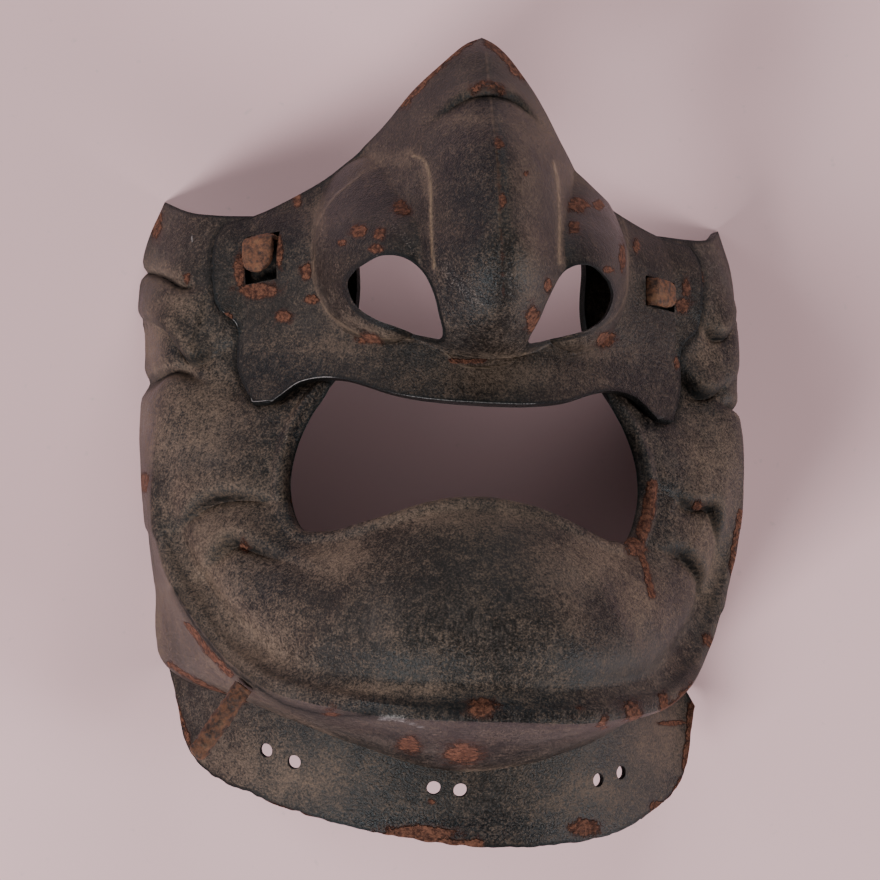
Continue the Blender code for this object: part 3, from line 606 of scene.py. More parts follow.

# %% [markdown]
# ## Marks of age
#
# Rust, dust and wear aren't spread by chance: each sits where the metal was wet, where a hand or a cloth
# never reached, or where an edge was rubbed. They are kept as numbers on the mesh, called attributes, one
# for each kind. A short table places every patch where the picture shows it, and the material later breaks
# its outline up with fine noise. The places are picture columns and rows, and so are the sizes.
# Some marks stand for light instead: painted shade in the creases, along edges and under plates that lie
# over others, and painted highlights and sheen among the wear, the scratches, the dust and the pale lines.

# %% Rust tables
# A spot is the column and row of its middle, its width and its height.
# A stroke is the columns and rows of three places on its line, its width and its strength.
RUST_SPOTS = {
    "body": (
        (159, 224, 11, 32), (189, 278, 6, 6), (148, 482, 9, 19), (246, 548, 9, 15), (291, 502, 6, 6),
        (410, 741, 18, 18), (464, 750, 32, 21), (482, 708, 28, 15), (332, 709, 10, 9), (577, 714, 7, 8),
        (601, 722, 8, 8), (634, 549, 19, 18), (696, 504, 9, 9), (697, 281, 7, 13), (631, 711, 18, 15),
        (661, 702, 9, 14), (181, 204, 10, 8), (241, 209, 22, 6), (588, 528, 10, 6), (610, 540, 9, 6),
        (705, 641, 9, 12),
    ),
    "nose": (
        (299, 202, 8, 14), (403, 210, 18, 15), (361, 233, 14, 13), (381, 236, 11, 11),
        (378, 250, 13, 8), (345, 244, 7, 6), (308, 272, 11, 16), (314, 300, 12, 9), (285, 317, 17, 12),
        (229, 318, 9, 8), (371, 338, 22, 13), (576, 208, 20, 14), (596, 207, 10, 10),
        (573, 230, 11, 13), (619, 258, 6, 26), (634, 247, 6, 14), (605, 270, 10, 6), (499, 146, 7, 9),
        (523, 175, 5, 5), (503, 202, 5, 11), (545, 285, 7, 15), (531, 319, 14, 27), (603, 339, 17, 18),
        (674, 363, 5, 14), (260, 291, 38, 15), (241, 272, 10, 30), (281, 252, 7, 30),
        (680, 306, 15, 15), (649, 302, 12, 8), (684, 288, 7, 18),
    ),
    "throat": (
        (583, 827, 30, 16), (655, 806, 15, 9), (420, 832, 70, 13), (669, 724, 26, 5), (431, 801, 7, 5),
    ),
}
RUST_STROKES = {
    "body": (
        (191, 623, 212, 650, 233, 672, 7, 0.8), (651, 484, 647, 514, 641, 537, 7, 1.0),
        (640, 558, 645, 578, 649, 597, 7, 0.9), (172, 662, 195, 676, 228, 692, 6, 0.7),
        (737, 512, 732, 545, 728, 575, 6, 0.7), (650, 718, 672, 700, 690, 684, 5, 0.6),
    ),
    "nose": (
        (471, 42, 441, 66, 404, 106, 12, 0.80), (489, 45, 503, 57, 519, 76, 14, 0.80),
        (497, 130, 501, 210, 503, 296, 3, 0.36), (452, 362, 468, 363, 484, 361, 5, 0.9),
        (474, 90, 486, 87, 500, 90, 10, 0.55),
    ),
    "throat": (
        (691, 706, 688, 736, 683, 768, 9, 0.9), (680, 780, 668, 800, 645, 818, 8, 0.8),
        (384, 836, 430, 841, 480, 843, 8, 0.8), (178, 700, 186, 726, 192, 744, 6, 0.6),
        (262, 799, 300, 812, 330, 822, 4, 0.6), (246, 700, 258, 690, 262, 684, 8, 0.6),
    ),
}
print(sum(map(len, RUST_SPOTS.values())), "rust spots")

# %% Dust, wear and painted light tables
# Dust, partly painted light: the sheen on the nose's right flank and the lit line along the chin's lower
# edge.
DUST_AND_LIGHT_SPOTS = {
    "body": (
        (215, 500, 100, 60), (225, 540, 90, 50), (182, 306, 50, 24), (156, 345, 30, 50),
        (460, 518, 240, 30), (250, 645, 90, 90), (640, 600, 50, 60), (704, 340, 24, 60),
        (705, 460, 50, 100), (702, 560, 36, 110), (190, 420, 110, 90), (590, 560, 100, 60),
        (400, 692, 150, 16), (210, 590, 90, 90), (150, 630, 40, 90), (340, 560, 60, 50),
    ),
    "nose": (
        (500, 376, 150, 30), (470, 122, 60, 12), (540, 130, 40, 60), (572, 178, 30, 26),
        (396, 160, 56, 16), (340, 345, 90, 24), (590, 352, 80, 22), (322, 215, 14, 40),
    ),
    "throat": (
        (240, 760, 90, 50), (300, 775, 90, 40), (660, 745, 90, 80), (590, 790, 90, 40),
    ),
}
DUST_AND_LIGHT_STROKES = {
    "body": (
        (590, 752, 642, 724, 692, 688, 12, 0.9), (560, 510, 575, 560, 570, 620, 40, 0.6),
        (196, 362, 216, 364, 232, 352, 5, 0.6), (300, 404, 288, 440, 284, 480, 5, 0.5),
        (262, 692, 344, 738, 415, 762, 4, 0.7), (466, 768, 570, 757, 648, 718, 5, 0.8),
    ),
    "nose": (
        (517, 120, 524, 200, 528, 290, 26, 0.75), (408, 154, 426, 164, 433, 196, 9, 1.0),
        (434, 200, 434, 235, 437, 268, 5, 0.9), (551, 163, 557, 200, 557, 262, 9, 0.9),
        (366, 174, 390, 161, 412, 153, 8, 0.9), (552, 164, 570, 172, 592, 190, 8, 0.8),
        (323, 214, 316, 246, 320, 290, 4, 0.7), (320, 290, 334, 316, 362, 330, 5, 0.8),
        (352, 318, 380, 330, 412, 340, 7, 0.9), (446, 354, 478, 366, 524, 352, 4, 1.0),
        (540, 344, 575, 334, 602, 318, 6, 0.8), (612, 306, 624, 276, 625, 240, 4, 0.6),
    ),
}
# Rubbed edges, partly painted highlights: along the nose piece's lower edge, the nostrils' upper edges and
# the mouth's rim.
WORN_AND_GLINT_STROKES = {
    "body": (
        (305, 405, 289, 450, 296, 508, 12, 0.7), (300, 522, 345, 526, 430, 501, 12, 0.6),
        (480, 494, 560, 515, 612, 543, 12, 0.5), (168, 200, 200, 212, 240, 214, 8, 0.5),
    ),
    "nose": (
        (250, 408, 298, 384, 330, 380, 14, 1.0), (330, 380, 400, 399, 530, 404, 12, 0.8),
        (352, 264, 385, 255, 420, 276, 12, 0.8), (436, 312, 430, 292, 420, 276, 12, 0.6),
        (224, 314, 232, 321, 242, 326, 6, 0.9), (690, 322, 686, 360, 680, 388, 10, 0.5),
    ),
}
print(sum(map(len, DUST_AND_LIGHT_SPOTS.values())), "dusty patches")

# %% Lines, scratches, painted highlights and burnished patches
# A line is the columns and rows of four places on it. Seams and ridges are pale, partly painted highlights
# as along the nose's lower edge, and shades are dark lines of painted shadow.
SEAMS = {
    "nose": (
        (416, 157, 426, 161, 432, 176, 434, 200), (434, 200, 434, 222, 435, 246, 437, 268),
        (550, 163, 554, 180, 556, 215, 556, 264),
    ),
}
SHADES = {
    "body": (
        (178, 590, 200, 626, 230, 662, 259, 684), (259, 684, 290, 702, 330, 711, 372, 712),
        (372, 712, 405, 711, 440, 710, 482, 709),
    ),
}
RIDGES = {
    "nose": (
        (362, 178, 336, 200, 320, 226, 317, 258), (317, 258, 317, 284, 328, 308, 344, 322),
        (344, 322, 362, 332, 385, 336, 412, 340), (588, 184, 610, 206, 624, 232, 624, 262),
        (486, 56, 492, 110, 499, 170, 501, 240), (624, 262, 622, 296, 604, 322, 560, 336),
        (446, 354, 466, 368, 504, 366, 524, 350),
    ),
}
# Scratches, and painted highlights on the jaw's crest, the mouth's left rim and the nose's tip and left
# bulge.
SCRATCHES_AND_HIGHLIGHTS = {
    "body": (
        (195, 234, 194, 240, 196, 246, 1.2, 1.0), (220, 352, 222, 355, 224, 359, 1.0, 0.8),
        (378, 715, 400, 716, 424, 724, 5, 0.76), (496, 715, 525, 717, 556, 717, 5, 0.76),
        (290, 425, 285, 455, 287, 490, 2, 0.60),
    ),
    "nose": (
        (448, 268, 462, 284, 482, 300, 26, 0.52), (507, 270, 509, 280, 509, 292, 10, 0.52),
        (395, 228, 405, 240, 414, 252, 16, 0.50),
    ),
}
BLUE_SPOTS = {
    "body": (
        (300, 460, 46, 170), (300, 540, 90, 50), (470, 740, 260, 40), (240, 590, 110, 60),
        (170, 420, 50, 60), (655, 470, 40, 120), (215, 505, 60, 26), (640, 600, 60, 60),
        (470, 706, 330, 16),
    ),
    "nose": (
        (455, 280, 80, 110), (350, 220, 70, 60), (600, 230, 50, 60), (470, 200, 50, 120),
        (290, 370, 90, 60), (640, 380, 70, 60), (270, 240, 80, 60), (360, 200, 90, 60),
        (470, 170, 60, 90),
    ),
    "throat": (
        (430, 830, 300, 30), (220, 780, 60, 40),
    ),
}
print(sum(map(len, BLUE_SPOTS.values())), "burnished patches")

# %% [markdown]
# A patch's strength falls off smoothly with the distance from its middle or its line. Half strength lies on
# the patch's outline, which is the level at which the material switches from iron to rust.

# %% Marks on a plate
FAR = 9.0  # millimetres, past which no mark looks
PIXELS_PER_MM = 4.2  # on the nose
CREST_AT = 0.0020  # from a fold's line
CREST_REACH = 0.0016
CONTACT = 0.2  # millimetres, which make the painted shade under a plate thinner than a fold's
FADE = 1.5  # millimetres by which a fold's line seems farther off at its ends
STROKE_STEPS = 97
LINE_STEPS = 65
DEEP = 0.0006  # the depth of a full hollow
HOLLOW_STEPS = 3
# The lit crest above a fold takes the pale colour, partly dust and partly painted light.
LIT_CREST_SHARE = 0.9
PAD_SHARE = 0.9
HOLLOW_SHARE = 0.4


def patch_strength(distance):
    return 1 / (1 + distance**3)


def to_curve(column, row, places, steps):
    """Pixels from each point to a curve through some places of the picture."""
    nearest = np.full(column.shape, np.inf)
    for x, y in spline(places, np.linspace(0, 1, steps)):
        nearest = np.minimum(nearest, np.hypot(column - x, row - y))
    return nearest


def marks(plate, points, spots, strokes):
    """The strength of one kind of mark at each point of a plate."""
    column, row = in_picture(points)
    found = np.zeros(column.shape)
    for x, y, wide, high in spots.get(plate, ()):
        reach = np.hypot((column - x) / (wide / 2), (row - y) / (high / 2))
        found = np.maximum(found, patch_strength(reach))
    for *places, wide, strength in strokes.get(plate, ()):
        reach = to_curve(column, row, np.reshape(places, (3, 2)), STROKE_STEPS)
        found = np.maximum(found, strength * patch_strength(reach / (wide / 2)))
    return found


def to_lines(plate, points, lines):
    """Millimetres from each point to the nearest of some drawn lines."""
    column, row = in_picture(points)
    found = np.full(column.shape, FAR)
    for places in lines.get(plate, ()):
        reach = to_curve(column, row, np.reshape(places, (4, 2)), LINE_STEPS)
        found = np.minimum(found, reach / PIXELS_PER_MM)
    return found


def hollows(grid, reach):
    """How deep each point lies under its surroundings, from -1 to 1, with reach in grid steps."""
    blurred = grid.copy()
    for _ in range(2):
        for axis in (0, 1):
            total = np.zeros_like(blurred)
            for step in range(-reach, reach + 1):
                index = np.clip(np.arange(grid.shape[axis]) + step, 0, grid.shape[axis] - 1)
                total += np.take(blurred, index, axis=axis)
            blurred = total / (2 * reach + 1)
    depth = ((blurred - grid) * grid_normals(grid)).sum(axis=2)
    depth[:reach] = depth[-reach:] = 0
    depth[:, :reach] = depth[:, -reach:] = 0
    return np.clip(depth / DEEP, -1, 1)


def fold_marks(flat, folds):
    """Millimetres to the nearest fold's line, and the lit crest and the shaded pad beside the folds."""
    x, y = flat[..., 0], flat[..., 1]
    line = np.full(x.shape, FAR)
    crest, pad = np.zeros(x.shape), np.zeros(x.shape)
    for fold in folds:
        near, side, distance, full = by_fold(fold, x, y)
        line[near] = np.minimum(line[near], 1000 * distance + FADE * (1 - full))
        off = side if fold.rise else distance
        here = full * np.exp(-((distance / FOLD_REACH) ** 2))
        crest[near] = np.maximum(crest[near], here * np.exp(-(((off - CREST_AT) / CREST_REACH) ** 2)))
        pad[near] = np.maximum(pad[near], here * smooth_step(-side / CREST_AT) * (fold.rise > 0))
    return line, crest, pad


def from_edges(points, edges):
    """Millimetres from each point to the nearest of some edges, each a row of points."""
    nearest = np.full(points.shape[:2], FAR)
    for edge in edges:
        tree = KDTree(len(edge))
        for i, place in enumerate(edge):
            tree.insert(place, i)
        tree.balance()
        for index in np.ndindex(nearest.shape):
            nearest[index] = min(nearest[index], 1000 * tree.find(points[index])[2])
    return nearest


def beside(points, edges):
    """Millimetres, as the picture shows them, from each point to the edges of a plate that lies over it."""
    flat = []
    for row in (points.reshape(-1, 3), *edges):
        seen = np.stack([*in_picture(row), np.zeros(len(row))], axis=-1)
        flat.append(seen / PIXELS_PER_MM / 1000)
    return from_edges(flat[0].reshape(points.shape), flat[1:])


def all_marks(plate, points, flat, folds, edges):
    """Every kind of mark on one plate, by name. The flat points are the plate's before it was folded."""
    dust = marks(plate, points, DUST_AND_LIGHT_SPOTS, DUST_AND_LIGHT_STROKES)
    line, crest, pad = fold_marks(flat, folds)
    deep = np.maximum(hollows(points, HOLLOW_STEPS), 0)
    return {
        "rust": marks(plate, points, RUST_SPOTS, RUST_STROKES),
        "dust": np.clip(np.maximum(dust, LIT_CREST_SHARE * crest) + HOLLOW_SHARE * deep, 0, 1),
        "worn": marks(plate, points, {}, WORN_AND_GLINT_STROKES),
        "scratch": marks(plate, points, {}, SCRATCHES_AND_HIGHLIGHTS),
        "blue": np.maximum(marks(plate, points, BLUE_SPOTS, {}), PAD_SHARE * pad),
        "fold": line,
        "seam": to_lines(plate, points, SEAMS),
        "ridge": to_lines(plate, points, RIDGES),
        "edge": from_edges(points, edges),
    }


# %% [markdown]
# ## From points to plate
#
# Each grid becomes a thin sheet, and Solidify gives it the plate's thickness on both sides, so inside and
# outside stay parallel as in real sheet metal. A tiny bevel rounds the cut edges, since a knife-sharp edge
# never catches the light.

# %% Plate maker
EDGE_ROUND = 0.00045
ROUND_FROM = math.radians(60)
SHARP_FROM = math.radians(50)


def sheet(name, grid, thickness, attributes):
    """A plate whose middle surface runs through a grid of points, with its marks."""
    made = plain_mesh(name, grid.reshape(-1, 3).tolist(), quads(grid))
    for kind, values in attributes.items():
        layer = made.data.attributes.new(kind, "FLOAT", "POINT")
        layer.data.foreach_set("value", values.ravel().astype(np.float32))
    plate = made.modifiers.new("plate", "SOLIDIFY")
    plate.thickness = thickness
    plate.offset = 0.0
    return made


def flatten(obj):
    """The object with its modifiers turned into plain mesh."""
    graph = bpy.context.evaluated_depsgraph_get()
    mesh = bpy.data.meshes.new_from_object(obj.evaluated_get(graph), depsgraph=graph)
    obj.modifiers.clear()
    obj.data = mesh
    mesh.shade_smooth()
    mesh.set_sharp_from_angle(angle=SHARP_FROM)
    return obj


def round_edges(obj):
    edge = obj.modifiers.new("edge", "BEVEL")
    edge.width = EDGE_ROUND
    edge.segments = 2
    edge.limit_method = "ANGLE"
    edge.angle_limit = ROUND_FROM
    edge.use_clamp_overlap = True
    return flatten(obj)


def cut(obj, cutter):
    tool = obj.modifiers.new(cutter.name, "BOOLEAN")
    tool.operation = "DIFFERENCE"
    tool.solver = "MANIFOLD"
    tool.object = cutter


print("edges are rounded by", 1000 * EDGE_ROUND, "mm")

# %% [markdown]
# ## Nostrils and slots
#
# The holes of the nose piece were cut with a chisel, straight through from the front. A prism of the hole's
# outline cuts them, and a small box cuts each slot for a tongue.

# %% Holes in the nose piece
NOSTRIL = (
    (0.40, 0.400), (0.335, 0.432), (0.27, 0.430), (0.215, 0.400), (0.180, 0.350), (0.158, 0.300),
    (0.135, 0.245), (0.185, 0.246), (0.265, 0.263), (0.34, 0.283), (0.395, 0.315), (0.42, 0.365),
)
NOSTRIL_SKEW = 0.0010
Slot = namedtuple("Slot", "side x y width height turn")
SLOTS = (
    Slot("left", -0.645, 0.430, 0.120, 0.125, -90.0),
    Slot("right", 0.625, 0.388, 0.155, 0.075, 0.0),
)


def prism(name, outline, low, high):
    """An upright block with the given outline."""
    shape = bmesh.new()
    ground = shape.faces.new([shape.verts.new((x, y, low)) for x, y in outline])
    raised = bmesh.ops.extrude_face_region(shape, geom=[ground])["geom"]
    moved = [part for part in raised if isinstance(part, bmesh.types.BMVert)]
    bmesh.ops.translate(shape, verts=moved, vec=(0.0, 0.0, high - low))
    bmesh.ops.recalc_face_normals(shape, faces=shape.faces)
    made = plain_mesh(name, [], [])
    shape.to_mesh(made.data)
    shape.free()
    return made


def frame_at(place, normal, degrees):
    """A matrix at place: +Z along the normal, and +X along the face, turned by so many degrees."""
    normal = Vector(normal).normalized()
    across = Vector((1.0, 0.0, 0.0))
    across = (across - normal * across.dot(normal)).normalized()
    turned = Matrix((across, normal.cross(across), normal)).transposed().to_4x4()
    return Matrix.Translation(place) @ turned @ Matrix.Rotation(math.radians(degrees), 4, "Z")


def on_nose(outline):
    """The points of an outline, seen from the front, brought down onto the nose piece."""
    down = Vector((0.0, 0.0, -1.0))
    landed = [nose_tree.ray_cast(Vector((x, y, 2 * DEPTH)), down)[0] for x, y in outline]
    return [place for place in landed if place is not None]


def slot_frame(slot):
    above = Vector((slot.x * HALF_WIDTH, slot.y * HALF_HEIGHT, 2 * DEPTH))
    place, normal, _, _ = nose_tree.ray_cast(above, Vector((0.0, 0.0, -1.0)))
    return frame_at(place, normal, 0.0)


print(len(SLOTS), "slots")

# %% [markdown]
# The rear rim stands on the table, so the body ends there. Shade is painted on the body where the nose
# piece and its slots lie close over it, and along shadow lines under the chin roll; that dark line is kept
# with the body's own folds.

# %% Body plate
BELOW_HALF = 0.2


def block(name, low, high):
    """A plain box to cut with."""
    points = [(x, y, z) for z in (low[2], high[2]) for y in (low[1], high[1]) for x in (low[0], high[0])]
    faces = [(0, 2, 3, 1), (4, 5, 7, 6), (0, 1, 5, 4), (2, 6, 7, 3), (0, 4, 6, 2), (1, 3, 7, 5)]
    return plain_mesh(name, points, faces)


below = block("below_table", (-BELOW_HALF, -BELOW_HALF, -BELOW_HALF / 2), (BELOW_HALF, BELOW_HALF, 0.0))
body_edges = (body_points[:, 0], body_points[0], body_points[-1])
body_marks = all_marks("body", body_points, smooth_grid(around, face, band)[0], FOLDS, body_edges)
over = [nose_points[-1], nose_points[:, 0], nose_points[:, -1]]
spread = np.linspace(-0.5, 0.5, 17)
for slot in SLOTS:
    wide, high = slot.width * HALF_WIDTH, slot.height * HALF_HEIGHT
    inside = [(x * wide, y * high, 0.0) for x in spread for y in spread]
    over.append(np.array([slot_frame(slot) @ Vector(place) for place in inside]))
# Painted shade along the edges of the plates and slots that lie over the body, and along the shadow lines
# under the chin roll.
painted_shade = np.minimum(beside(body_points, over), to_lines("body", body_points, SHADES))
body_marks["fold"] = np.minimum(body_marks["fold"], CONTACT + painted_shade)
body = sheet("iron_body", body_points, PLATE, body_marks)
cut(body, below)
flatten(body)
round_edges(body)
print("body", len(body.data.polygons), "faces")

# %% Nose plate
NOSTRIL_STEPS = 108
CUT_FROM = 0.35
CUT_TO = 1.1

cutters = [below]
nose_edges = [nose_points[0], nose_points[-1], nose_points[:, 0], nose_points[:, -1]]
for side in (-1, 1):
    corners = np.array(NOSTRIL + NOSTRIL[:1]) * (side * HALF_WIDTH, HALF_HEIGHT)
    corners[:, 0] -= NOSTRIL_SKEW * (side > 0)
    outline = spline(corners, np.linspace(0, 1, NOSTRIL_STEPS + 1))[:-1]
    cutters.append(prism("nostril_cutter", outline, CUT_FROM * DEPTH, CUT_TO * DEPTH))
    nose_edges.append(on_nose(outline))
for slot in SLOTS:
    half = Vector((slot.width * HALF_WIDTH / 2, slot.height * HALF_HEIGHT / 2, 3 * NOSE_PLATE))
    cutter = block("slot_cutter", -half, half)
    cutter.data.transform(slot_frame(slot))
    cutters.append(cutter)
nose_marks = all_marks("nose", nose_points, nose_points, (FROWN,), nose_edges)
nose = sheet("iron_nose_piece", nose_points, NOSE_PLATE, nose_marks)
for cutter in cutters[1:]:
    cut(nose, cutter)
flatten(nose)
round_edges(nose)
print("nose piece", len(nose.data.polygons), "faces")

# %% [markdown]
# ## Lacing holes
#
# Three pairs of holes repeat along the throat plate. They were punched from the front, so each stands
# halfway between square to the plate and straight up. Geometry Nodes suit what repeats: points carry the
# place and the direction, and the tree stands one drill on each. The drills then cut the plate.

# %% Drills
LACE_HOLE = 0.0033
LACE_SPACING = 0.0065
LACE_SIDES = 40
Lace = namedtuple("Lace", "x from_edge")
LACES = (Lace(-0.512, 0.122), Lace(-0.005, 0.137), Lace(0.545, 0.143))


def drill_tree():
    """Geometry Nodes that stand a drill on each point, along the point's direction."""
    tree = bpy.data.node_groups.new("drills", "GeometryNodeTree")
    tree.interface.new_socket("Geometry", in_out="INPUT", socket_type="NodeSocketGeometry")
    for name, value in (("Radius", LACE_HOLE / 2), ("Depth", 5 * THROAT_PLATE)):
        socket = tree.interface.new_socket(name, in_out="INPUT", socket_type="NodeSocketFloat")
        socket.default_value = value
    tree.interface.new_socket("Geometry", in_out="OUTPUT", socket_type="NodeSocketGeometry")
    nodes = tree.nodes
    inlet = nodes.new("NodeGroupInput")
    outlet = nodes.new("NodeGroupOutput")
    drill = nodes.new("GeometryNodeMeshCylinder")
    drill.inputs["Vertices"].default_value = LACE_SIDES
    way = nodes.new("GeometryNodeInputNamedAttribute")
    way.data_type = "FLOAT_VECTOR"
    way.inputs["Name"].default_value = "way"
    align = nodes.new("FunctionNodeAlignRotationToVector")
    align.axis = "Z"
    stand = nodes.new("GeometryNodeInstanceOnPoints")
    real = nodes.new("GeometryNodeRealizeInstances")
    wires = (
        (inlet, "Radius", drill, "Radius"),
        (inlet, "Depth", drill, "Depth"),
        (way, "Attribute", align, "Vector"),
        (inlet, "Geometry", stand, "Points"),
        (drill, "Mesh", stand, "Instance"),
        (align, "Rotation", stand, "Rotation"),
        (stand, "Instances", real, "Geometry"),
        (real, "Geometry", outlet, "Geometry"),
    )
    for source, output, target, into in wires:
        tree.links.new(source.outputs[output], target.inputs[into])
    return tree


UPWARDS = np.array([0.0, 0.0, 1.0])
flange = throat_points[LAP_ROWS:]
flange_normals = grid_normals(flange)
from_edge = np.linalg.norm(flange - flange[-1:], axis=2)
places, ways = [], []
for lace in LACES:
    for side in (-0.5, 0.5):
        out = flange[..., 0] - lace.x * HALF_WIDTH - side * LACE_SPACING
        off = np.hypot(out, from_edge - lace.from_edge * HALF_HEIGHT)
        row, column = np.unravel_index(off.argmin(), off.shape)
        places.append(flange[row, column])
        ways.append((flange_normals[row, column] + UPWARDS) / 2)
drills = plain_mesh("lace_drills", places, [])
layer = drills.data.attributes.new("way", "FLOAT_VECTOR", "POINT")
layer.data.foreach_set("vector", np.array(ways, np.float32).ravel())
drills.modifiers.new("drills", "NODES").node_group = drill_tree()
flatten(drills)
print(len(places), "lacing holes")

# %% Throat plate
throat_edges = (throat_points[-1], throat_points[:, 0], throat_points[:, -1])
throat_marks = all_marks("throat", throat_points, throat_points, (), throat_edges)
throat = sheet("iron_throat_plate", throat_points, THROAT_PLATE, throat_marks)
cut(throat, below)
cut(throat, drills)
flatten(throat)
round_edges(throat)
print("throat plate", len(throat.data.polygons), "faces")

# %% [markdown]
# ## Tongues and peg
#
# The small iron parts are forged bars, never quite round or square. Each is a tube along a short path: a
# ring of points is carried from place to place, and every ring may have its own width and thickness. The
# tongues rise through their slots and were hammered over.

# %% Bar maker
TONGUE_THICK = 0.0022
TONGUE_REACH = 0.0092
TONGUE_RISE = 0.0024
CLEARANCE = 0.0003
RING = 40
SCALE = ((0.0016, 1.0), (0.0007, 0.6))  # the size of the flakes and their share of the height


def bar(name, path, sides, ups, squareness, scale_height):
    """A closed, scaly bar along a path, whose rings reach out by sides and up by ups."""
    dense = np.linspace(0, 1, 6 * len(path))
    path, sides, ups = (spline(row, dense) for row in (path, sides, ups))
    angle = np.linspace(0, 2 * math.pi, RING, endpoint=False)
    across = np.sign(np.cos(angle)) * np.abs(np.cos(angle)) ** squareness
    along = np.sign(np.sin(angle)) * np.abs(np.sin(angle)) ** squareness
    points = path[:, None] + sides[:, None] * across[None, :, None] + ups[:, None] * along[None, :, None]
    for size, share in SCALE:
        flakes = [noise.noise_vector(Vector(point / size)) for point in points.reshape(-1, 3)]
        points += scale_height * share * np.array(flakes).reshape(points.shape)
    faces = []
    for i in range(len(path) - 1):
        for j in range(RING):
            k = (j + 1) % RING
            faces.append((i * RING + j, i * RING + k, (i + 1) * RING + k, (i + 1) * RING + j))
    faces.append(tuple(range(RING))[::-1])
    faces.append(tuple((len(path) - 1) * RING + j for j in range(RING)))
    made = plain_mesh(name, points.reshape(-1, 3), faces)
    shape = bmesh.new()
    shape.from_mesh(made.data)
    bmesh.ops.recalc_face_normals(shape, faces=shape.faces)
    shape.to_mesh(made.data)
    shape.free()
    made.data.shade_smooth()
    return made


print("forged parts take rings of", RING, "points")

# %% Tongues
BEND_SHARE = 0.55
BEND_ANGLES = (0.5, 1.05, 1.57)
# Each row is how far out the tongue is, and its thickness and width there.
TONGUE_END = (
    (0.55, 0.98, 1.0), (0.70, 0.92, 0.96), (0.84, 0.85, 0.85), (0.94, 0.7, 0.62), (1.0, 0.35, 0.30),
)
TONGUE_SQUARE = 0.6  # less than 1 makes a bar's section square, and 1 makes it round
TONGUE_SCALE = 0.00025


def tongue(slot):
    """A tongue that stands on the body, comes up through its slot and is hammered over."""
    frame_here = slot_frame(slot)
    width, length = slot.height * HALF_HEIGHT, slot.width * HALF_WIDTH
    if slot.turn:
        width, length = length, width
    turned = frame_here @ Matrix.Rotation(math.radians(slot.turn), 4, "Z")
    start = -length / 2 + 2 * CLEARANCE
    stem = turned @ Vector((start + TONGUE_THICK / 2, 0.0, 0.0))
    down = -frame_here.to_3x3().col[2]
    sideways = turned.to_3x3().col[1] * (width / 2 - CLEARANCE)
    above = [stem + sideways * side - down * NOSE_PLATE for side in (-1, 0, 1)]
    fall = min(body_tree.ray_cast(place, down)[3] for place in above)
    foot = -(fall - NOSE_PLATE - PLATE / 2 - 2 * CLEARANCE)
    top = NOSE_PLATE / 2 + TONGUE_RISE
    half = TONGUE_THICK / 2
    bend = TONGUE_THICK * BEND_SHARE
    x, y = start + half, top - bend - half
    knots = [(x, foot), (x, y)]
    knots += [(x + bend * (1 - math.cos(a)), y + bend * math.sin(a)) for a in BEND_ANGLES]
    knots += [(start + share * TONGUE_REACH, top - half) for share, _, _ in TONGUE_END]
    upright = len(knots) - len(TONGUE_END)
    thick = [1.0] * upright + [row[1] for row in TONGUE_END]
    wide = [1.0] * upright + [row[2] for row in TONGUE_END]
    path, sides, ups = [], [], []
    flat = np.array(knots)
    ways = np.gradient(flat, axis=0)
    ways /= np.linalg.norm(ways, axis=1)[:, None]
    matrix = turned @ Matrix.Rotation(math.pi / 2, 4, "X")
    for (x, y), (wx, wy), t, w in zip(knots, ways, thick, wide):
        path.append(np.array(matrix @ Vector((x, y, 0.0))))
        ups.append(np.array(matrix.to_3x3() @ Vector((-wy, wx, 0.0))) * half * t)
        sides.append(np.array(matrix.to_3x3() @ Vector((0.0, 0.0, 1.0))) * (width / 2 - CLEARANCE) * w)
    return bar(f"iron_tongue_{slot.side}", path, sides, ups, TONGUE_SQUARE, TONGUE_SCALE)


tongues = {slot.side: tongue(slot) for slot in SLOTS}
print(len(tongues), "tongues")

# %% Cord peg
PEG_DIAMETER = 0.0046
PEG_LENGTH = 0.0195
PEG_X = -0.665
PEG_Y = -0.585
PEG_Z = 0.65
PEG_TURN = 8.0
PEG_AT = (0.0, 0.04, 0.12, 0.22, 0.34, 0.46, 0.58, 0.70, 0.82, 0.91, 0.97, 1.0)
PEG_FULL = (1.0, 1.0, 0.98, 0.97, 0.96, 0.97, 0.95, 0.97, 0.96, 0.93, 0.80, 0.45)
PEG_SCALE = 0.00030

outside = Vector((PEG_X * HALF_WIDTH, PEG_Y * HALF_HEIGHT, PEG_Z * DEPTH))
wall, square, _, _ = body_tree.find_nearest(outside)
way = Matrix.Rotation(math.radians(PEG_TURN), 3, "Z") @ Vector((square.x, square.y, 0.0)).normalized()
tilted = PEG_DIAMETER / 2 * way.cross(square).length
root = wall + way * ((PLATE / 2 + tilted + CLEARANCE) / way.dot(square))
side = way.cross(Vector((0.0, 0.0, 1.0))).normalized()
up = side.cross(way)
shares = np.array(PEG_AT)
sizes = np.array(PEG_FULL) * PEG_DIAMETER / 2
path = [np.array(root + way * PEG_LENGTH * share) for share in shares]
sides = [np.array(side) * size for size in sizes]
ups = [np.array(up) * size for size in sizes]
peg = bar("iron_cord_peg", path, sides, ups, 1.0, PEG_SCALE)
print("peg root", [round(v, 4) for v in root])
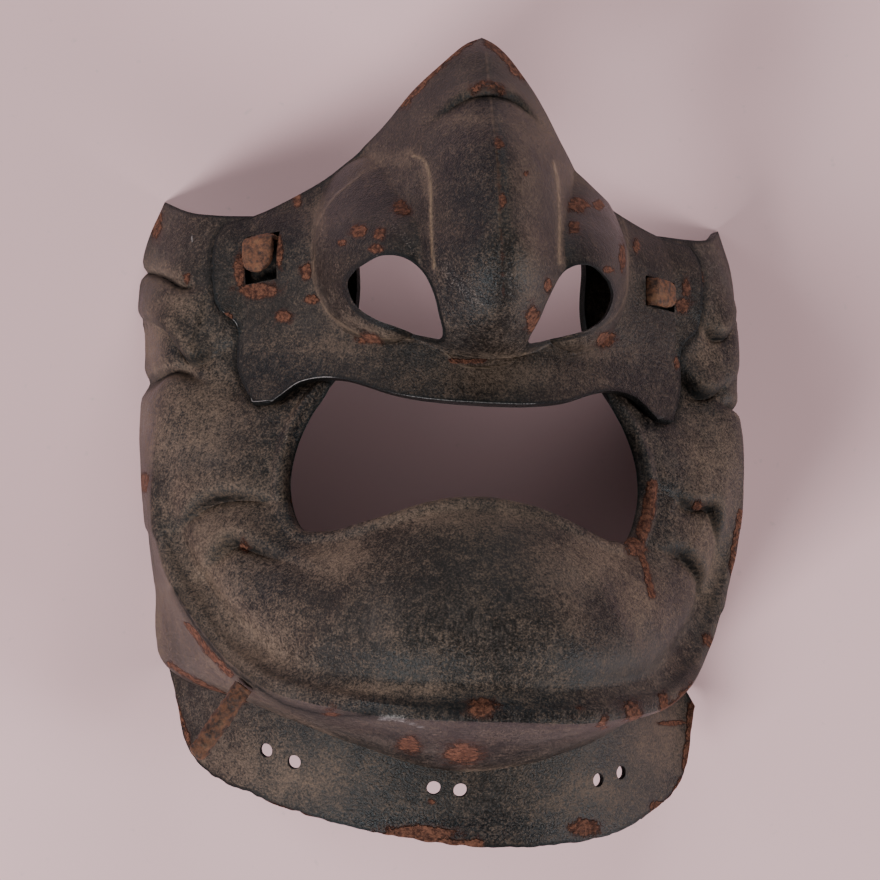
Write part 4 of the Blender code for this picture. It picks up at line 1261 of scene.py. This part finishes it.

# %% [markdown]
# ## Materials
#
# The skin of the iron is a stack of thin layers: brown-black scale, blue-black where it was burnished,
# pale dust in the pits and creases, partly painted light, and rust that broke through in spots. Painted
# shade darkens the creases and edges, and painted highlights lie on rubbed rims. One function builds the
# stack from the marks on the mesh and from noise at three sizes: patches the width of a thumb, mottling the
# size of a grain of rice, and pits like a pinprick.

# %% Node helpers
class Stack:
    """Short ways to add shader nodes to a material."""

    def __init__(self, name):
        self.material = bpy.data.materials.new(name)
        self.material.use_nodes = True
        self.tree = self.material.node_tree
        self.shader = self.tree.nodes["Principled BSDF"]
        self.place = self.add("ShaderNodeTexCoord").outputs["Object"]

    def add(self, kind, **settings):
        made = self.tree.nodes.new(kind)
        for key, value in settings.items():
            setattr(made, key, value)
        return made

    def join(self, value, socket):
        if isinstance(value, bpy.types.NodeSocket):
            self.tree.links.new(value, socket)
        else:
            socket.default_value = value

    def give(self, name, value):
        """Joins a value to one of the shader's inputs, or sets it to a number or colour."""
        self.join(value, self.shader.inputs[name])

    def noise(self, size, detail=3.0, roughness=0.55, stretch=(1, 1, 1)):
        """Noise whose features are about so many metres across, stretched along some axes."""
        mapping = self.add("ShaderNodeMapping")
        mapping.inputs["Scale"].default_value = [1 / (size * s) for s in stretch]
        self.join(self.place, mapping.inputs["Vector"])
        texture = self.add("ShaderNodeTexNoise")
        texture.inputs["Scale"].default_value = 1.0
        texture.inputs["Detail"].default_value = detail
        texture.inputs["Roughness"].default_value = roughness
        self.join(mapping.outputs["Vector"], texture.inputs["Vector"])
        return texture.outputs["Fac"]

    def mark(self, kind):
        return self.add("ShaderNodeAttribute", attribute_name=kind).outputs["Fac"]

    def math(self, operation, a, b):
        made = self.add("ShaderNodeMath", operation=operation)
        self.join(a, made.inputs[0])
        self.join(b, made.inputs[1])
        return made.outputs[0]

    def sum(self, *parts, clamp=False):
        total = parts[0]
        for part in parts[1:]:
            total = self.math("ADD", total, part)
        total.node.use_clamp = clamp
        return total

    def times(self, a, b):
        return self.math("MULTIPLY", a, b)

    def most(self, a, b):
        return self.math("MAXIMUM", a, b)

    def step(self, value, low, high, bottom=0.0, top=1.0):
        """From bottom to top as the value goes from low to high, with a soft start and end."""
        made = self.add("ShaderNodeMapRange", interpolation_type="SMOOTHSTEP")
        self.join(value, made.inputs["Value"])
        for name, number in (("From Min", low), ("From Max", high), ("To Min", bottom), ("To Max", top)):
            self.join(number, made.inputs[name])
        return made.outputs["Result"]

    def mix(self, share, a, b):
        made = self.add("ShaderNodeMix", data_type="RGBA")
        self.join(share, made.inputs["Factor"])
        self.join(a, made.inputs["A"])
        self.join(b, made.inputs["B"])
        return made.outputs["Result"]

    def bump(self, height, strength, distance, under=None):
        made = self.add("ShaderNodeBump")
        made.inputs["Strength"].default_value = strength
        made.inputs["Distance"].default_value = distance
        self.join(height, made.inputs["Height"])
        if under is not None:
            self.join(under, made.inputs["Normal"])
        return made.outputs["Normal"]


# %% Old iron
BROWN_BLACK = (0.0092, 0.0058, 0.0041, 1.0)
BLUE_BLACK = (0.0062, 0.0060, 0.0070, 1.0)
GREY_WEAR = (0.084, 0.069, 0.061, 1.0)
# The pale tan of dust, also used for painted light.
TAN_DUST_AND_LIGHT = (0.225, 0.158, 0.115, 1.0)
# Pale tan for seams and ridges, partly painted highlights.
TAN_LINE = (0.240, 0.170, 0.110, 1.0)
COLD_SHEEN = (0.80, 0.93, 1.0, 1.0)
# The black of painted shade, in the creases, under plates and along edges.
SHADE_BLACK = (0.002, 0.0018, 0.0018, 1.0)
# The colour of rubbed bright iron, also used for painted highlights.
BRIGHT = (0.34, 0.33, 0.33, 1.0)
RUST_DARK = (0.045, 0.016, 0.010, 1.0)
RUST_LIGHT = (0.180, 0.076, 0.046, 1.0)


def old_iron(name, stretch, haze, dusty):
    """Blackened iron with dust, wear and rust, and painted shade, sheen and highlights. Its brush marks run
    along the stretched axes.
    """
    iron = Stack(name)
    broad = iron.noise(0.018)
    cloud = iron.noise(0.0080, 4.0, 0.6)
    mottle = iron.noise(0.0017, 4.0, 0.7)
    grain = iron.noise(0.00055, 2.0, 0.8)
    streaks = iron.noise(0.0009, 4.0, 0.75, stretch)
    rust_edge = iron.noise(0.0022, 4.0, 0.7)
    rust_tone = iron.noise(0.0011, 4.0, 0.7)

    # Brown-black scale, blue-black where it was burnished, under a brushed grey haze.
    blueness = iron.step(iron.sum(iron.mark("blue"), iron.sum(broad, -0.6)), -0.10, 0.70)
    skin = iron.mix(blueness, BROWN_BLACK, BLUE_BLACK)
    speckle = iron.sum(iron.times(grain, 0.65), iron.times(mottle, 0.35))
    brushed = iron.sum(iron.times(streaks, 0.5), iron.times(speckle, 0.5))
    brushed = iron.sum(brushed, iron.times(iron.sum(broad, -0.5), 0.5))
    haze_share = iron.step(brushed, 0.42, 0.74, 0.0, haze)
    skin = iron.mix(haze_share, skin, GREY_WEAR)

    # Dust in the pits, dust and painted light on the lit crests beside the folds and in other places, and
    # pale lines along seams and ridges, partly painted highlights.
    dust_and_light_amount = iron.sum(iron.times(iron.mark("dust"), 0.15), iron.times(cloud, 0.28))
    dust = iron.step(iron.sum(dust_and_light_amount, speckle), 0.58, 1.00, 0.0, dusty)
    skin = iron.mix(dust, skin, TAN_DUST_AND_LIGHT)
    seam = iron.step(iron.sum(iron.mark("seam"), iron.times(mottle, 1.4)), 0.55, 1.35, 0.75, 0.0)
    ridge = iron.step(iron.sum(iron.mark("ridge"), iron.times(grain, 0.8)), 0.40, 0.80, 0.30, 0.0)
    line = iron.most(seam, ridge)
    skin = iron.mix(line, skin, TAN_LINE)

    # Painted shade in the creases, under the edges of plates that lie over the body and along every edge,
    # and rims that are rubbed bright, partly painted highlights.
    to_fold = iron.sum(iron.mark("fold"), iron.times(mottle, 0.6))
    crease_core = iron.step(to_fold, 0.55, 1.15, 1.0, 0.0)
    crease_shade = iron.most(crease_core, iron.step(to_fold, 0.80, 2.40, 0.50, 0.0))
    skin = iron.mix(iron.times(crease_shade, 0.92), skin, SHADE_BLACK)
    edge = iron.mark("edge")
    skin = iron.mix(iron.step(edge, 0.30, 1.10, 0.90, 0.0), skin, SHADE_BLACK)
    rim = iron.times(iron.step(edge, 0.02, 0.10), iron.step(edge, 0.20, 0.40, 1.0, 0.0))
    # Rubbed rims and scratches, and painted highlights, take the bright colour.
    rubbed_and_glint = iron.sum(iron.times(rim, iron.mark("worn")), iron.times(grain, 0.9), iron.mark("scratch"))
    worn = iron.step(rubbed_and_glint, 0.95, 1.45, 0.0, 0.8)
    skin = iron.mix(worn, skin, BRIGHT)

    # Rust in ragged spots, each with a dark stain round it, and freckles of it all over.
    spots = iron.sum(iron.mark("rust"), iron.times(iron.sum(rust_edge, -0.5), 1.1))
    stain = iron.step(spots, 0.18, 0.50, 0.0, 0.7)
    rust = iron.step(spots, 0.40, 0.60)
    freckle = iron.step(iron.sum(rust_edge, iron.times(grain, 0.5)), 0.96, 1.08, 0.0, 0.5)
    skin = iron.mix(iron.most(stain, freckle), skin, RUST_DARK)
    rust_colour = iron.mix(iron.step(rust_tone, 0.36, 0.66), RUST_DARK, RUST_LIGHT)
    iron.give("Base Color", iron.mix(rust, skin, rust_colour))

    # Burnished iron shines, and whatever lies on it dulls it.
    polish = iron.step(blueness, 0.0, 1.0, 0.36, 0.22)
    dull = iron.times(iron.sum(dust, haze_share), 0.40)
    roughening = [iron.times(part, share) for part, share in ((mottle, 0.16), (crease_shade, 0.40), (rust, 0.40))]
    iron.give("Roughness", iron.sum(polish, dull, *roughening, clamp=True))
    iron.give("Metallic", iron.times(worn, 0.7))
    iron.give("IOR", 1.45)
    iron.give("Specular IOR Level", iron.step(blueness, 0.0, 1.0, 0.34, 0.24))
    iron.give("Specular Tint", COLD_SHEEN)

    # The relief, from hammer marks down to pits, then what is cut in and what stands up.
    uncut = iron.step(crease_shade, 0.0, 1.0, 1.0, 0.0)
    scab = iron.sum(rust, iron.times(rust, iron.times(rust_tone, 0.9)))
    relief = (
        (cloud, 0.25, 0.0008), (mottle, 0.35, 0.0004), (grain, 0.85, 0.00028), (streaks, 0.20, 0.00015),
        (uncut, 0.5, 0.0004), (line, 0.9, 0.0004), (scab, 0.8, 0.0006),
    )
    normal = None
    for height, strength, distance in relief:
        normal = iron.bump(height, strength, distance, normal)
    iron.give("Normal", normal)
    print(name, len(iron.tree.nodes), "nodes")
    return iron.material


iron_face = old_iron("iron_brushed_down", (1.0, 9.0, 1.0), 0.75, 0.80)
iron_nose = old_iron("iron_burnished", (1.5, 4.0, 1.5), 0.35, 0.60)
iron_throat = old_iron("iron_brushed_across", (14.0, 1.0, 2.0), 0.55, 0.70)

# %% [markdown]
# The tongues and the peg were never blackened well, and they are rust all over, with a lighter bloom on a
# dark, pitted crust.

# %% Rusted iron
BLOOM = (0.27, 0.135, 0.065, 1.0)


def rusted_iron(name, dark, light, bloom_share):
    """Iron with a dark, pitted crust of rust and a lighter bloom on it."""
    iron = Stack(name)
    crust = iron.noise(0.0013, 5.0, 0.7)
    colour = iron.mix(iron.step(crust, 0.35, 0.65), dark, light)
    bloomed = iron.step(iron.noise(0.0035), 0.50, 0.72, 0.0, bloom_share)
    iron.give("Base Color", iron.mix(bloomed, colour, BLOOM))
    iron.give("Roughness", iron.step(crust, 0.2, 0.8, 0.55, 0.9))
    iron.give("Metallic", 0.15)
    iron.give("Normal", iron.bump(crust, 0.9, 0.0005))
    print(name, len(iron.tree.nodes), "nodes")
    return iron.material


rusted = rusted_iron("iron_rusted", (0.028, 0.011, 0.007, 1.0), (0.175, 0.074, 0.038, 1.0), 0.40)
rusted_dark = rusted_iron("iron_rusted_dark", (0.016, 0.007, 0.005, 1.0), (0.125, 0.052, 0.027, 1.0), 0.25)

# %% [markdown]
# The table is painted board, a pale warm grey with faint marks. It stays plain, so that nothing draws the
# eye from the mask.

# %% Table finish
BOARD_DARK = (0.840, 0.560, 0.590, 1.0)
BOARD_LIGHT = (0.890, 0.605, 0.635, 1.0)
BOARD_MARK = (0.42, 0.35, 0.35, 1.0)


def painted_board(name):
    board = Stack(name)
    colour = board.mix(board.step(board.noise(0.18, 2.0), 0.3, 0.7), BOARD_DARK, BOARD_LIGHT)
    speck = board.step(board.noise(0.004), 0.66, 0.80, 0.0, 0.25)
    board.give("Base Color", board.mix(speck, colour, BOARD_MARK))
    board.give("Roughness", 0.6)
    print(name, len(board.tree.nodes), "nodes")
    return board.material


floor.data.materials.append(painted_board("painted_board"))

# %% [markdown]
# ## Finish
#
# Each piece takes the place of its solid, rides on the mask's one body, and gets its finish. The cutters
# have done their work and go.

# %% Hand over to the frame
PIECES = (
    (body, "mask_body", iron_face, "blackened_iron"),
    (nose, "nose_piece", iron_nose, "blackened_iron"),
    (throat, "throat_plate", iron_throat, "blackened_iron"),
    (tongues["left"], "nose_hook_left", rusted, "rusty_iron"),
    (tongues["right"], "nose_hook_right", rusted, "rusty_iron"),
    (peg, "cord_peg", rusted_dark, "rusty_iron"),
)
for tool in cutters + [drills]:
    bpy.data.objects.remove(tool)
for piece, node, material, slot_name in PIECES:
    piece.data.materials.clear()
    piece.data.materials.append(material)
    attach(piece, "root")
    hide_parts(node)
